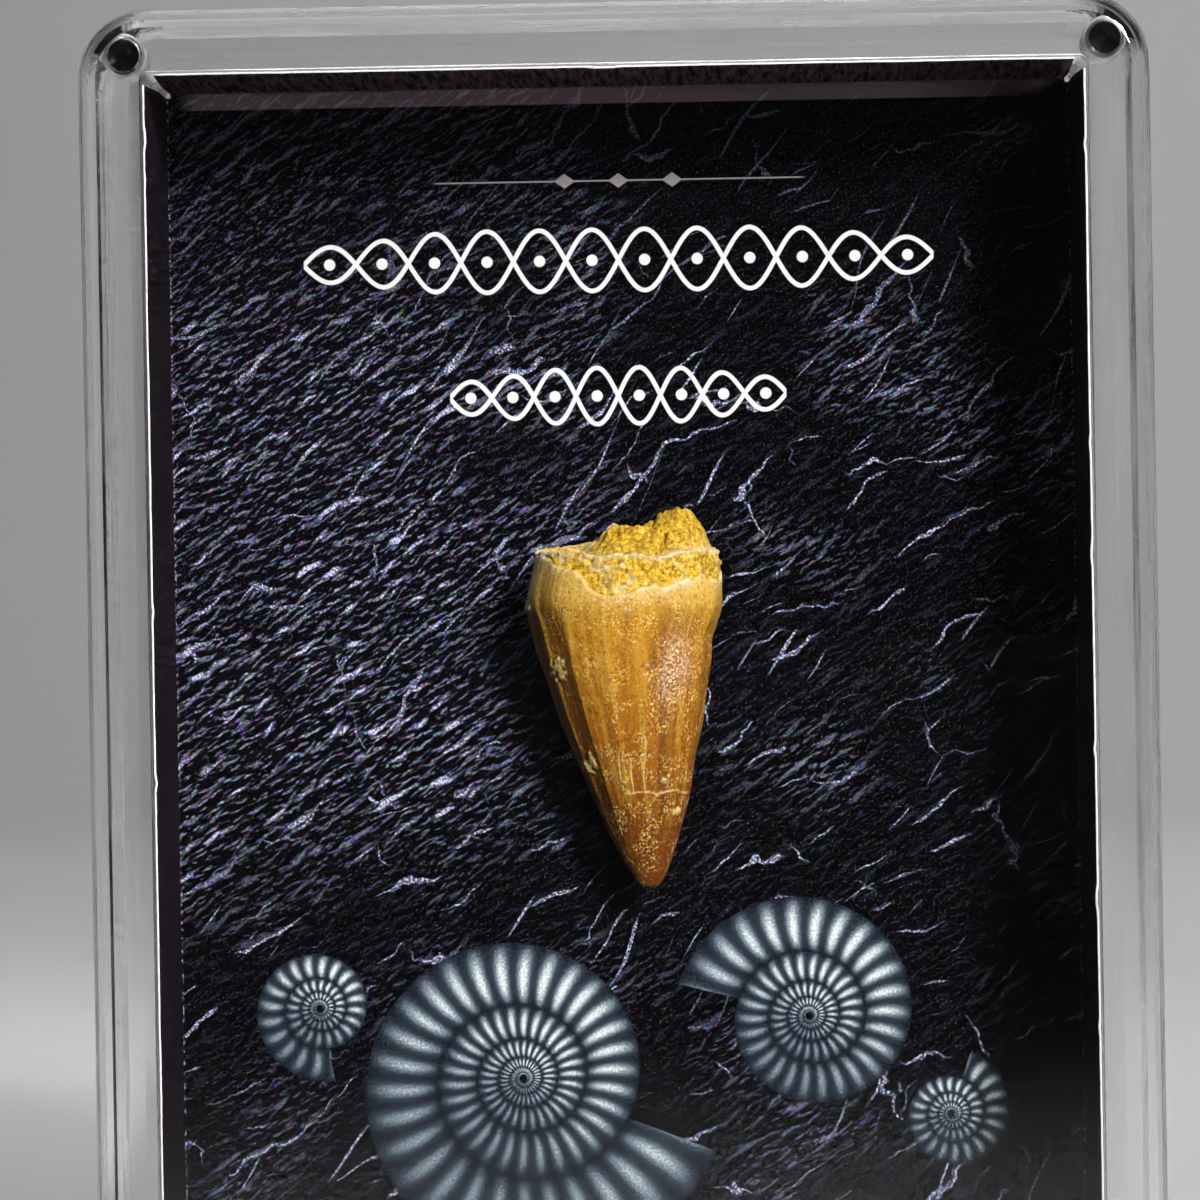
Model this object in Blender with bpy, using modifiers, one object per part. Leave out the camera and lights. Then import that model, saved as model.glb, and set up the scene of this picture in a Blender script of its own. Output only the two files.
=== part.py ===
"""A fossil marine-reptile tooth on a printed card tray, in a clear case of two magnetic halves.

The case stands on its lower edge with its window facing -Y. The origin is the middle of the case's underside.
"""

import math

import bmesh
import bpy
from mathutils import Matrix, Vector, noise

MM = 0.001

# Case
CASE_WIDTH = 84 * MM
CASE_HEIGHT = 108 * MM
POCKET_DEPTH = 20 * MM
WINDOW_THICKNESS = 2.7 * MM
BORDER = 4.7 * MM
CORNER_RADIUS = 5.4 * MM
OUTER_EDGE_RADIUS = 1.5 * MM
JOINT_EDGE_SHARE = 0.09
POCKET_CORNER_RADIUS = 0.8 * MM
CORNER_STEPS = 8
JOINT_GAP = 0.15 * MM

# Magnets
MAGNET_DIAMETER = 3 * MM
MAGNET_LENGTH = 3 * MM
MAGNET_INSET = 3.1 * MM
MAGNET_CHAMFER = 0.15 * MM
MAGNET_SIDES = 24

# Card tray
PAPER_THICKNESS = 0.35 * MM
FOLD_RELIEF = 0.7 * MM
FLAP_TAPER = 1.1 * MM

# Tooth
TOOTH_TIP = Vector((1.65 * MM, 4.4 * MM, 37.5 * MM))
CROWN_HEIGHT = 27.4 * MM
WIDEST_HEIGHT = 22.9 * MM
HALF_WIDTH = 7.9 * MM
DEPTH_SHARE = 0.78
BASE_LEAN = 1.65 * MM
SWELL_POWER = 0.66
TIP_BLUNTNESS = 0.5 * MM
TIP_ROUND = 0.45 * MM
RIM_PULL_IN = 0.1
RIM_SHIFT = 0.45 * MM
FLUTES = 14
FLUTE_DEPTH = 0.036
LEDGE_DEPTH = 0.08
ENAMEL_EDGE = 24.35 * MM
FLAT_SPOT_BACK = 0.9 * MM
TOOTH_COLUMNS = 72
TOOTH_ROWS = 44
ENAMEL_ROWS = 0.57
WALL_ROWS = 0.72

# Pad and the gap that neighbouring pieces keep
PAD_WIDTH = 6 * MM
PAD_HEIGHT = 6 * MM
PAD_CENTRE_HEIGHT = 60.8 * MM
GAP = 0.2 * MM

# Values worked out from the ones above
CASE_DEPTH = POCKET_DEPTH + 2 * WINDOW_THICKNESS
POCKET_HALF_WIDTH = CASE_WIDTH / 2 - BORDER
POCKET_HEIGHT = CASE_HEIGHT - 2 * BORDER
MID_HEIGHT = CASE_HEIGHT / 2
CARD_BACK = POCKET_DEPTH / 2 - GAP
CARD_FACE = CARD_BACK - PAPER_THICKNESS
TOOTH_BACK = CARD_FACE - GAP - FLAT_SPOT_BACK


def clear_scene():
    for obj in list(bpy.data.objects):
        bpy.data.objects.remove(obj, do_unlink=True)


def new_collection(name):
    collection = bpy.data.collections.new(name)
    bpy.context.scene.collection.children.link(collection)
    return collection


def material(name, colour, roughness, metallic=0.0, alpha=1.0):
    made = bpy.data.materials.new(name)
    made.use_nodes = True
    shader = made.node_tree.nodes["Principled BSDF"]
    shader.inputs["Base Color"].default_value = (*colour, 1.0)
    shader.inputs["Roughness"].default_value = roughness
    shader.inputs["Metallic"].default_value = metallic
    shader.inputs["Alpha"].default_value = alpha
    return made


def add_object(name, mesh, collection, finish=None):
    obj = bpy.data.objects.new(name, mesh)
    collection.objects.link(obj)
    if finish:
        mesh.materials.append(finish)
    return obj


def mark_as_cutter(obj):
    obj.hide_render = True
    obj.display_type = "WIRE"
    return obj


def rounded_rectangle(width, height, radius, steps):
    """Corner points of a rectangle centred on 0 with round corners, anticlockwise."""
    points = []
    for corner in range(4):
        side_x = 1 if corner in (0, 3) else -1
        side_y = 1 if corner in (0, 1) else -1
        for step in range(steps + 1):
            angle = math.radians(90) * (corner + step / steps)
            x = side_x * (width / 2 - radius) + radius * math.cos(angle)
            y = side_y * (height / 2 - radius) + radius * math.sin(angle)
            points.append((x, y))
    return points


def plate(name, outline, thickness, collection, finish=None):
    """A flat outline in the XZ plane given a thickness along Y, as one welded mesh."""
    curve = bpy.data.curves.new(name, "CURVE")
    curve.dimensions = "2D"
    curve.fill_mode = "BOTH"
    curve.extrude = thickness / 2
    spline = curve.splines.new("POLY")
    spline.points.add(len(outline) - 1)
    for point, (x, y) in zip(spline.points, outline):
        point.co = (x, y, 0, 1)
    spline.use_cyclic_u = True
    guide = bpy.data.objects.new(name + "_outline", curve)
    guide.rotation_euler.x = math.radians(90)
    collection.objects.link(guide)
    bpy.context.view_layer.update()
    graph = bpy.context.evaluated_depsgraph_get()
    mesh = bpy.data.meshes.new_from_object(guide.evaluated_get(graph))
    mesh.transform(guide.matrix_world)
    bpy.data.objects.remove(guide, do_unlink=True)
    shape = bmesh.new()
    shape.from_mesh(mesh)
    bmesh.ops.remove_doubles(shape, verts=shape.verts, dist=1e-6)
    bmesh.ops.dissolve_limit(shape, angle_limit=math.radians(1), verts=shape.verts, edges=shape.edges)
    bmesh.ops.recalc_face_normals(shape, faces=shape.faces)
    shape.to_mesh(mesh)
    shape.free()
    return add_object(name, mesh, collection, finish)


def cylinder_mesh(name, diameter, length, sides):
    """A capped cylinder whose axis is Y, centred on 0."""
    shape = bmesh.new()
    bmesh.ops.create_cone(
        shape,
        cap_ends=True,
        segments=sides,
        radius1=diameter / 2,
        radius2=diameter / 2,
        depth=length,
        matrix=Matrix.Rotation(math.radians(90), 4, "X"),
    )
    mesh = bpy.data.meshes.new(name)
    shape.to_mesh(mesh)
    shape.free()
    return mesh


def box_mesh(name, width, depth, height):
    shape = bmesh.new()
    bmesh.ops.create_cube(shape, size=1, matrix=Matrix.Diagonal((width, depth, height, 1)))
    mesh = bpy.data.meshes.new(name)
    shape.to_mesh(mesh)
    shape.free()
    return mesh


def smooth(obj, angle=35):
    obj.data.shade_smooth()
    obj.data.set_sharp_from_angle(angle=math.radians(angle))


def cut(target, cutter, operation="DIFFERENCE"):
    modifier = target.modifiers.new(operation.title() + " " + cutter.name, "BOOLEAN")
    modifier.operation = operation
    modifier.solver = "EXACT"
    modifier.object = cutter


def weight_rim_edges(mesh, outer_side):
    """Bevel weights: full round the outer face, a small share round the joint face."""
    shape = bmesh.new()
    shape.from_mesh(mesh)
    weights = shape.edges.layers.float.new("bevel_weight_edge")
    outer = max(outer_side * vert.co.y for vert in shape.verts)
    joint = min(outer_side * vert.co.y for vert in shape.verts)
    for edge in shape.edges:
        ends = [outer_side * vert.co.y for vert in edge.verts]
        if edge.is_boundary or len(edge.link_faces) != 2 or edge.calc_face_angle() < math.radians(60):
            continue
        if all(abs(end - outer) < 1e-6 for end in ends):
            edge[weights] = 1.0
        elif all(abs(end - joint) < 1e-6 for end in ends):
            edge[weights] = JOINT_EDGE_SHARE
    shape.to_mesh(mesh)
    shape.free()


def magnet_places():
    """(name, x, z) of each corner magnet."""
    reach = CASE_WIDTH / 2 - MAGNET_INSET
    rows = (("lower", MAGNET_INSET), ("upper", CASE_HEIGHT - MAGNET_INSET))
    sides = (("left", -reach), ("right", reach))
    return [(f"{row}_{side}", x, z) for row, z in rows for side, x in sides]


def make_cover(name, facing, parts, cutters, finish):
    """One half of the case; facing is -1 for the front half and 1 for the back half."""
    depth = CASE_DEPTH / 2 - JOINT_GAP / 2
    outline = rounded_rectangle(CASE_WIDTH, CASE_HEIGHT, CORNER_RADIUS, CORNER_STEPS)
    cover = plate(name, outline, depth, parts, finish)
    cover.location = (0, facing * (CASE_DEPTH / 2 - depth / 2), MID_HEIGHT)
    weight_rim_edges(cover.data, facing)
    bevel = cover.modifiers.new("Eased edges", "BEVEL")
    bevel.limit_method = "WEIGHT"
    bevel.width = OUTER_EDGE_RADIUS
    bevel.segments = 3

    pocket_outline = rounded_rectangle(2 * POCKET_HALF_WIDTH, POCKET_HEIGHT, POCKET_CORNER_RADIUS, 3)
    past_joint = 1 * MM
    pocket = mark_as_cutter(plate(name + "_pocket", pocket_outline, POCKET_DEPTH / 2 + past_joint, cutters))
    pocket.location = (0, facing * (POCKET_DEPTH / 4 - past_joint / 2), MID_HEIGHT)
    cut(cover, pocket)

    hole_depth = MAGNET_LENGTH + 2 * GAP
    hole = cylinder_mesh(name + "_magnet_hole", MAGNET_DIAMETER + 2 * GAP, hole_depth + past_joint, MAGNET_SIDES)
    for place, x, z in magnet_places():
        cutter = mark_as_cutter(add_object(f"{name}_hole_{place}", hole, cutters))
        cutter.location = (x, facing * (hole_depth - past_joint) / 2, z)
        cut(cover, cutter)
    smooth(cover)
    return cover


def make_magnets(parts, finish):
    for half, facing in (("front", -1), ("back", 1)):
        for place, x, z in magnet_places():
            mesh = cylinder_mesh("magnet", MAGNET_DIAMETER, MAGNET_LENGTH, MAGNET_SIDES)
            magnet = add_object(f"magnet_{half}_{place}", mesh, parts, finish)
            magnet.location = (x, facing * (JOINT_GAP / 2 + GAP / 2 + MAGNET_LENGTH / 2), z)
            bevel = magnet.modifiers.new("Chamfer", "BEVEL")
            bevel.width = MAGNET_CHAMFER
            bevel.segments = 1
            bevel.limit_method = "ANGLE"
            bevel.angle_limit = math.radians(60)
            smooth(magnet)


def make_card_tray(parts, finish):
    """A back panel with four flaps folded forwards, tapered so that their ends part at the corners."""
    half_x = POCKET_HALF_WIDTH - GAP
    half_z = POCKET_HEIGHT / 2 - GAP
    flap_front = -POCKET_DEPTH / 2 + GAP
    sheet = bmesh.new()
    corners, folds = [], []
    for out_x, out_z in ((-1, -1), (1, -1), (1, 1), (-1, 1)):
        corners.append(Vector((out_x * half_x, CARD_BACK, out_z * half_z)))
    panel = []
    for index, corner in enumerate(corners):
        following = corners[(index + 1) % 4]
        along = (following - corner).normalized()
        start = sheet.verts.new(corner + along * FOLD_RELIEF)
        end = sheet.verts.new(following - along * FOLD_RELIEF)
        panel += [sheet.verts.new(corner), start, end]
        folds.append((start, end, along))
    sheet.faces.new(panel)
    for start, end, along in folds:
        forward = Vector((0, flap_front - CARD_BACK, 0))
        front_start = sheet.verts.new(start.co + forward + along * FLAP_TAPER)
        front_end = sheet.verts.new(end.co + forward - along * FLAP_TAPER)
        sheet.faces.new((start, front_start, front_end, end))
    bmesh.ops.recalc_face_normals(sheet, faces=sheet.faces)
    mesh = bpy.data.meshes.new("card_tray")
    sheet.to_mesh(mesh)
    sheet.free()
    tray = add_object("card_tray", mesh, parts, finish)
    tray.location.z = MID_HEIGHT
    paper = tray.modifiers.new("Paper", "SOLIDIFY")
    paper.thickness = PAPER_THICKNESS
    paper.solidify_mode = "NON_MANIFOLD"
    paper.nonmanifold_thickness_mode = "CONSTRAINTS"
    panel_faces_back = mesh.polygons[0].normal.y > 0
    paper.offset = -1 if panel_faces_back else 1
    return tray


def ease(value, low, high):
    """0 below low, 1 above high and a smooth step between."""
    share = min(max((value - low) / (high - low), 0.0), 1.0)
    return share * share * (3 - 2 * share)


def bump(value, centre, width):
    return math.exp(-(((value - centre) / width) ** 2))


def enamel_edge(angle):
    """Height above the tip at which the enamel has broken away, round the crown."""
    teeth = 0.22 * math.sin(5 * angle + 0.4) + 0.2 * math.sin(9 * angle + 1.9) + 0.12 * math.sin(17 * angle)
    left_flake = 2.2 * ease(abs(angle), math.radians(105), math.radians(160))
    right_rise = 0.7 * (1 - ease(abs(angle), math.radians(30), math.radians(65)))
    return ENAMEL_EDGE + (teeth + left_flake + right_rise) * MM


def crown_radius(height, angle):
    """Half width of the crown: a power of the height, with flutes, a facet, keels, a waist and a ledge."""
    swell = min((height + TIP_BLUNTNESS) / (WIDEST_HEIGHT + TIP_BLUNTNESS), 1.0) ** SWELL_POWER
    tip = math.sqrt(max(1 - max(1 - height / TIP_ROUND, 0.0) ** 2, 0.0))
    pull_in = RIM_PULL_IN - 0.06 * max(-math.cos(angle), 0)
    pull_in *= ease(height, WIDEST_HEIGHT, CROWN_HEIGHT + 1.5 * MM)
    along = height / WIDEST_HEIGHT
    body = ease(along, 0.05, 0.35) * (1 - ease(along, 0.9, 1.08))
    flute = FLUTE_DEPTH * abs(math.sin(FLUTES * angle / 2)) * body
    facet = (0.06 * bump(angle, math.radians(-147), 0.3) - 0.02 * bump(angle, math.radians(-118), 0.12)) * body
    keel = 0.012 * bump(math.cos(angle), -1.0, 0.06) * body
    waist = 0.045 * bump(height, 20.2 * MM, 1.3 * MM) * max(math.cos(angle), 0)
    ledge = LEDGE_DEPTH * (0.2 + 0.8 * abs(math.sin(angle)))
    ledge *= ease(height - enamel_edge(angle), 0.02 * MM, 0.5 * MM)
    return HALF_WIDTH * swell * tip * (1 - pull_in - flute - facet + keel - waist - ledge)


def crown_point(height, angle):
    """A point on the crown's side: an oval of the crown's radius round an axis that leans towards the tip."""
    height = max(height, 0.0)
    radius = crown_radius(height, angle)
    lean = BASE_LEAN * ease(height, -2 * MM, 21 * MM) - BASE_LEAN * ease(0, -2 * MM, 21 * MM)
    rim_shift = RIM_SHIFT * ease(height, WIDEST_HEIGHT, CROWN_HEIGHT)
    base_y = TOOTH_BACK - DEPTH_SHARE * HALF_WIDTH + 0.35 * MM
    centre_y = TOOTH_TIP.y + (base_y - TOOTH_TIP.y) * ease(height / WIDEST_HEIGHT, -0.2, 1.0)
    x = TOOTH_TIP.x - lean + rim_shift + radius * math.cos(angle)
    y = centre_y + DEPTH_SHARE * radius * math.sin(angle)
    return Vector((x, y, TOOTH_TIP.z + height))


def rim_height(angle):
    """Height above the tip of the broken rim, lowest in the middle of the front and highest at the back left."""
    front_dip = 0.45 * bump(angle, math.radians(-86), 0.45)
    back_rise = 0.55 * bump(angle, math.radians(125), 0.7)
    return CROWN_HEIGHT + (back_rise - front_dip + 0.1 * math.sin(7 * angle)) * MM


def matrix_height(x, y):
    """Height of the sandy matrix over the rim: a level from the left, then a peak, then a drop at the right."""
    level = 1.7 * ease(x, -2.8 * MM, -0.4 * MM)
    peak = 2.3 * bump(x, 4.4 * MM, 1.6 * MM)
    right_drop = 1 - ease(x, 6.7 * MM, 7.5 * MM)
    front_slope = ease(y, TOOTH_BACK - 11.4 * MM, TOOTH_BACK - 6.5 * MM)
    back_slope = 1 - 0.8 * ease(y, TOOTH_BACK - 4.5 * MM, TOOTH_BACK)
    return (level + peak) * right_drop * front_slope * back_slope * MM


def grain(point, size, amount):
    return amount * noise.noise(point / size)


def tooth_point(share, angle):
    """The surface from the tip (share 0) up the crown, over the rim and in to the middle of the top (share 1)."""
    edge = enamel_edge(angle)
    if share <= WALL_ROWS:
        if share <= ENAMEL_ROWS:
            height = edge * (share / ENAMEL_ROWS) ** 1.35
        else:
            height = edge + (rim_height(angle) - edge) * (share - ENAMEL_ROWS) / (WALL_ROWS - ENAMEL_ROWS)
        point = crown_point(height, angle)
        rough = ease(height - enamel_edge(angle), -0.2 * MM, 0.4 * MM)
        outward = Vector((math.cos(angle), math.sin(angle), 0))
        point += outward * grain(point, 0.9 * MM, 0.22 * MM) * rough
        point += outward * grain(point, 3.2 * MM, 0.12 * MM) * ease(share, 0.1, 0.4)
    else:
        inward = (share - WALL_ROWS) / (1 - WALL_ROWS)
        rim = crown_point(rim_height(angle), angle)
        middle = Vector((RIM_SHIFT, TOOTH_BACK - 5.6 * MM, rim.z))
        point = rim.lerp(middle, inward)
        point.z = rim.z + (TOOTH_TIP.z + CROWN_HEIGHT - rim.z) * inward
        hollow = 0.5 * MM * ease(inward, 0.05, 0.2) * (1 - ease(inward, 0.3, 0.7))
        point.z += matrix_height(point.x, point.y) * ease(inward, 0.0, 0.3) - hollow
        point.z += (grain(point, 1.1 * MM, 0.45 * MM)) * ease(inward, 0.0, 0.15)
    point.y = min(point.y, TOOTH_BACK)
    return point


def make_tooth(parts, finish):
    """A UV sphere whose longitude becomes the angle round the tooth and its latitude the way up from the tip."""
    shape = bmesh.new()
    bmesh.ops.create_uvsphere(shape, u_segments=TOOTH_COLUMNS, v_segments=TOOTH_ROWS, radius=1)
    for vert in shape.verts:
        angle = math.atan2(vert.co.y, vert.co.x)
        share = math.asin(max(-1.0, min(1.0, vert.co.z))) / math.pi + 0.5
        vert.co = tooth_point(share, angle)
    mesh = bpy.data.meshes.new("tooth")
    shape.to_mesh(mesh)
    shape.free()
    tooth = add_object("tooth", mesh, parts, finish)
    smooth(tooth, 50)
    return tooth


def make_pad(parts, finish):
    thickness = CARD_FACE - TOOTH_BACK - 2 * GAP
    pad = add_object("mounting_pad", box_mesh("mounting_pad", PAD_WIDTH, thickness, PAD_HEIGHT), parts, finish)
    pad.location = (TOOTH_TIP.x - BASE_LEAN, (CARD_FACE + TOOTH_BACK) / 2, PAD_CENTRE_HEIGHT)
    bevel = pad.modifiers.new("Soft edges", "BEVEL")
    bevel.width = 0.12 * MM
    bevel.segments = 2
    return pad


def main():
    clear_scene()
    parts = new_collection("fossil_tooth_case")
    cutters = new_collection("cutters")
    acrylic = material("clear_acrylic", (0.93, 0.95, 0.95), 0.05, alpha=0.25)
    nickel = material("nickel", (0.46, 0.46, 0.46), 0.25, metallic=1.0)
    card = material("printed_card", (0.012, 0.010, 0.014), 0.35)
    enamel = material("fossil_enamel", (0.50, 0.25, 0.06), 0.35)
    putty = material("mounting_putty", (0.70, 0.70, 0.68), 0.8)
    make_cover("front_cover", -1, parts, cutters, acrylic)
    make_cover("back_cover", 1, parts, cutters, acrylic)
    make_magnets(parts, nickel)
    make_card_tray(parts, card)
    make_tooth(parts, enamel)
    make_pad(parts, putty)


main()
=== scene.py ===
"""Looks of a fossil marine-reptile tooth that stands tip down on a printed card in a clear case.

Sizes in the classes are in millimetres, and meshes are in metres. X runs across the case, Y from the front window to
the back one, and Z up from the surface that the case stands on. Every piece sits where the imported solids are.
"""

import logging
import math
from collections.abc import Sequence
from dataclasses import dataclass, field
from enum import Enum
from typing import Any

import bmesh
import bpy
import numpy as np
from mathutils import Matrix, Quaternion, Vector


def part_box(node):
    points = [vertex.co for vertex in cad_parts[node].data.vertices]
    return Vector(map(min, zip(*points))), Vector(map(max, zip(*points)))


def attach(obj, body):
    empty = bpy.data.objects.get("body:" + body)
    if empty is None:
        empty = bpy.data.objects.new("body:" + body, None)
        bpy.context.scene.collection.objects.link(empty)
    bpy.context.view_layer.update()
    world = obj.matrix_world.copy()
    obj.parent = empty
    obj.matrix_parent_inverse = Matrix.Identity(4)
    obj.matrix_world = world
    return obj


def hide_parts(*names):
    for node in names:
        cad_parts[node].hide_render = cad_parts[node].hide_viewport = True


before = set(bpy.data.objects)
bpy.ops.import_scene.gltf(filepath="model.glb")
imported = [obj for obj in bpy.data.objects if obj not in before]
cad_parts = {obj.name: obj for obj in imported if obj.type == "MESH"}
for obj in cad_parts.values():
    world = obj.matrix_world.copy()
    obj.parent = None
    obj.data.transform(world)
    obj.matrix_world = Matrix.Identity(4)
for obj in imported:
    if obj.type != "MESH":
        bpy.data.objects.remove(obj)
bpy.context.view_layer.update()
LOG = logging.getLogger("display_case")
MM = 0.001
TURN = 2 * math.pi
Array = np.ndarray
Colour = tuple[float, float, float]


class Slot(Enum):
    """Names of material slots."""

    ACRYLIC = "clear_acrylic"
    CARD = "printed_card"
    FOSSIL = "fossil_enamel"
    PAD = "mounting_putty"
    NICKEL = "nickel"


class Half(Enum):
    """Which half of the case a cover is, as the side of Y that it lies on."""

    FRONT = -1
    BACK = 1


# Shapes


def hashed(cells: Array, seed: int) -> Array:
    """Give each whole-numbered cell one number from -1 to 1.

    The cell's three numbers are each multiplied by a large odd number and added, then mixed by shifts and products.

    Args:
        cells: Whole numbers, in an array whose last axis has three.
        seed: Picks another set of numbers.

    Returns:
        One number a cell.
    """
    mixed = (cells.astype(np.int64) * np.array([73856093, 19349663, 83492791])).sum(-1) + seed * 104395301
    mixed &= 0xFFFFFFFF
    for shift in (15, 12, 16):
        mixed = ((mixed ^ (mixed >> shift)) * 0x2C1B3C6D) & 0xFFFFFFFF
    return mixed / 0x7FFFFFFF - 1.0


def noise(points: Array, size: float, seed: int = 0) -> Array:
    """Smooth noise from -1 to 1.

    Hashed numbers at the corners of cubes of the given size are blended by 6t^5 - 15t^4 + 10t^3 along each axis.

    Args:
        points: Places, in an array whose last axis has three.
        size: Side of a cube, in the points' unit.
        seed: Picks another pattern.

    Returns:
        One number a point.
    """
    scaled = points / size
    cell = np.floor(scaled)
    share = scaled - cell
    share = share**3 * (share * (6 * share - 15) + 10)
    total = np.zeros(points.shape[:-1])
    for corner in np.ndindex(2, 2, 2):
        weight = np.where(np.array(corner) == 1, share, 1 - share).prod(-1)
        total += weight * hashed(cell + corner, seed)
    return total


def ease(value: Array, low: float, high: float) -> Array:
    """Rise from 0 at low to 1 at high as 3t^2 - 2t^3, flat outside them."""
    share = np.clip((value - low) / (high - low), 0, 1)
    return share * share * (3 - 2 * share)


def bump(value: Array, centre: float, width: float) -> Array:
    """Bell curve: e to the minus square of the distance from centre over width."""
    return np.exp(-(((value - centre) / width) ** 2))


def make_mesh(name: str, points: Array, faces: Sequence[Sequence[int]]) -> bpy.types.Mesh:
    """Make a mesh from points in millimetres, with its faces turned outwards.

    A closed shape is inside out if six times its volume, the sum over its triangles of p0 . (p1 x p2), is negative.

    Args:
        name: The mesh's name.
        points: One row of three a point.
        faces: The points of each face, in order.

    Returns:
        The mesh, in metres.
    """
    mesh = bpy.data.meshes.new(name)
    mesh.from_pydata((points * MM).tolist(), [], [list(face) for face in faces])
    mesh.calc_loop_triangles()
    corners = np.empty(len(mesh.loop_triangles) * 3, np.int32)
    mesh.loop_triangles.foreach_get("vertices", corners)
    triangles = points[corners.reshape(-1, 3)]
    if np.einsum("ij,ij->", triangles[:, 0], np.cross(triangles[:, 1], triangles[:, 2])) < 0:
        mesh.flip_normals()
    mesh.shade_smooth()
    return mesh


def ring_faces(rings: int, columns: int) -> Array:
    """Quads between neighbouring closed rings of points that follow each other in one list.

    Args:
        rings: How many rings there are.
        columns: How many points each ring has.

    Returns:
        Four point numbers for each quad.
    """
    start = np.arange(rings - 1)[:, None] * columns
    here = np.arange(columns)[None, :]
    following = (here + 1) % columns
    quads = [start + here, start + following, start + columns + following, start + columns + here]
    return np.stack(quads, -1).reshape(-1, 4)


def closed_rings(name: str, rings: Array) -> bpy.types.Mesh:
    """Join a stack of closed rings to one shape, whose two end rings close to a point each.

    Args:
        name: The mesh's name.
        rings: Points as rings, columns and three coordinates. Each end ring's points all lie on one place.

    Returns:
        The mesh: a fan at each end and quads between.
    """
    count, columns = rings.shape[:2]
    points = np.concatenate([rings[:1, 0], rings[1:-1].reshape(-1, 3), rings[-1:, 0]])
    last = len(points) - 1
    here = np.arange(columns)
    following = (here + 1) % columns
    base = 1 + (count - 3) * columns
    quads = ring_faces(count - 2, columns) + 1
    first_fan = np.stack([np.zeros_like(here), 1 + following, 1 + here], -1)
    last_fan = np.stack([np.full_like(here, last), base + here, base + following], -1)
    return make_mesh(name, points, [*first_fan.tolist(), *quads.tolist(), *last_fan.tolist()])


def store(mesh: bpy.types.Mesh, name: str, values: Array) -> None:
    """Keep one number a point on the mesh, as an attribute that its material reads."""
    mesh.attributes.new(name, "FLOAT", "POINT").data.foreach_set("value", values.astype(np.float32).ravel())


def ring_values(values: Array) -> Array:
    """Numbers of a stack of rings in the order that closed_rings gives its points."""
    return np.concatenate([values[:1, 0], values[1:-1].ravel(), values[-1:, 0]])


def sharpen(mesh: bpy.types.Mesh, degrees: float, large_face: float) -> None:
    """Mark edges sharp where faces meet at more than an angle, and all round each large flat face.

    Args:
        mesh: The mesh to mark.
        degrees: The angle.
        large_face: Area in square millimetres from which a face keeps its own flat shading.
    """
    shape = bmesh.new()
    shape.from_mesh(mesh)
    for edge in shape.edges:
        angle = edge.calc_face_angle(0.0)
        large = max((face.calc_area() for face in edge.link_faces), default=0.0) > large_face * MM**2
        edge.smooth = not (angle > math.radians(degrees) or (large and angle > math.radians(0.3)))
    shape.to_mesh(mesh)
    shape.free()


def place(mesh: bpy.types.Mesh, slot: Slot, *nodes: str) -> bpy.types.Object:
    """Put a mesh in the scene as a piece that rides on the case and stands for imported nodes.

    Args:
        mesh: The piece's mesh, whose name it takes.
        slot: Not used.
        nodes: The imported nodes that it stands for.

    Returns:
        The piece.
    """
    piece = bpy.data.objects.new(mesh.name, mesh)
    bpy.context.scene.collection.objects.link(piece)
    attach(piece, "root")
    if nodes:
        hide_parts(*nodes)
    LOG.info("%s: %d faces", piece.name, len(mesh.polygons))
    return piece


# Shaders


class Value:
    """A number that varies over a surface, held as a socket of a shader."""

    def __init__(self, sheet: "Sheet", socket: bpy.types.NodeSocket) -> None:
        """Wrap a socket of a sheet."""
        self.sheet = sheet
        self.socket = socket

    def math(self, operation: str, *others: Any) -> "Value":
        """Add a Math node that takes this value first and the others after it."""
        made = self.sheet.node("ShaderNodeMath", {"operation": operation}, dict(enumerate((self, *others))))
        return Value(self.sheet, made.outputs[0])

    def __add__(self, other: Any) -> "Value":
        """This plus the other."""
        return self.math("ADD", other)

    __radd__ = __add__

    def __sub__(self, other: Any) -> "Value":
        """This less the other."""
        return self.math("SUBTRACT", other)

    def __rsub__(self, other: float) -> "Value":
        """The other less this."""
        return (self * -1).math("ADD", other)

    def __mul__(self, other: Any) -> "Value":
        """This times the other."""
        return self.math("MULTIPLY", other)

    __rmul__ = __mul__

    def __truediv__(self, other: Any) -> "Value":
        """This over the other."""
        return self.math("DIVIDE", other)

    def __pow__(self, other: Any) -> "Value":
        """This to the power of the other."""
        return self.math("POWER", other)

    def size(self) -> "Value":
        """This without its sign."""
        return self.math("ABSOLUTE")

    def wave(self) -> "Value":
        """The sine of this."""
        return self.math("SINE")

    def rest(self) -> "Value":
        """What this has over the whole number below it."""
        return self.math("FRACT")

    def least(self, other: Any) -> "Value":
        """The smaller of this and the other."""
        return self.math("MINIMUM", other)

    def most(self, other: Any) -> "Value":
        """The larger of this and the other."""
        return self.math("MAXIMUM", other)

    def ease(self, low: float, high: float) -> "Value":
        """Rise from 0 at low to 1 at high with a soft start and end; fall if low is the larger.

        Args:
            low: Where the result is 0.
            high: Where the result is 1.

        Returns:
            The eased number.
        """
        falls = low > high
        inputs = {"Value": self, "From Min": min(low, high), "From Max": max(low, high)}
        inputs |= {"To Min": float(falls), "To Max": float(not falls)}
        made = self.sheet.node("ShaderNodeMapRange", {"interpolation_type": "SMOOTHSTEP"}, inputs)
        return Value(self.sheet, made.outputs[0])


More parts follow.
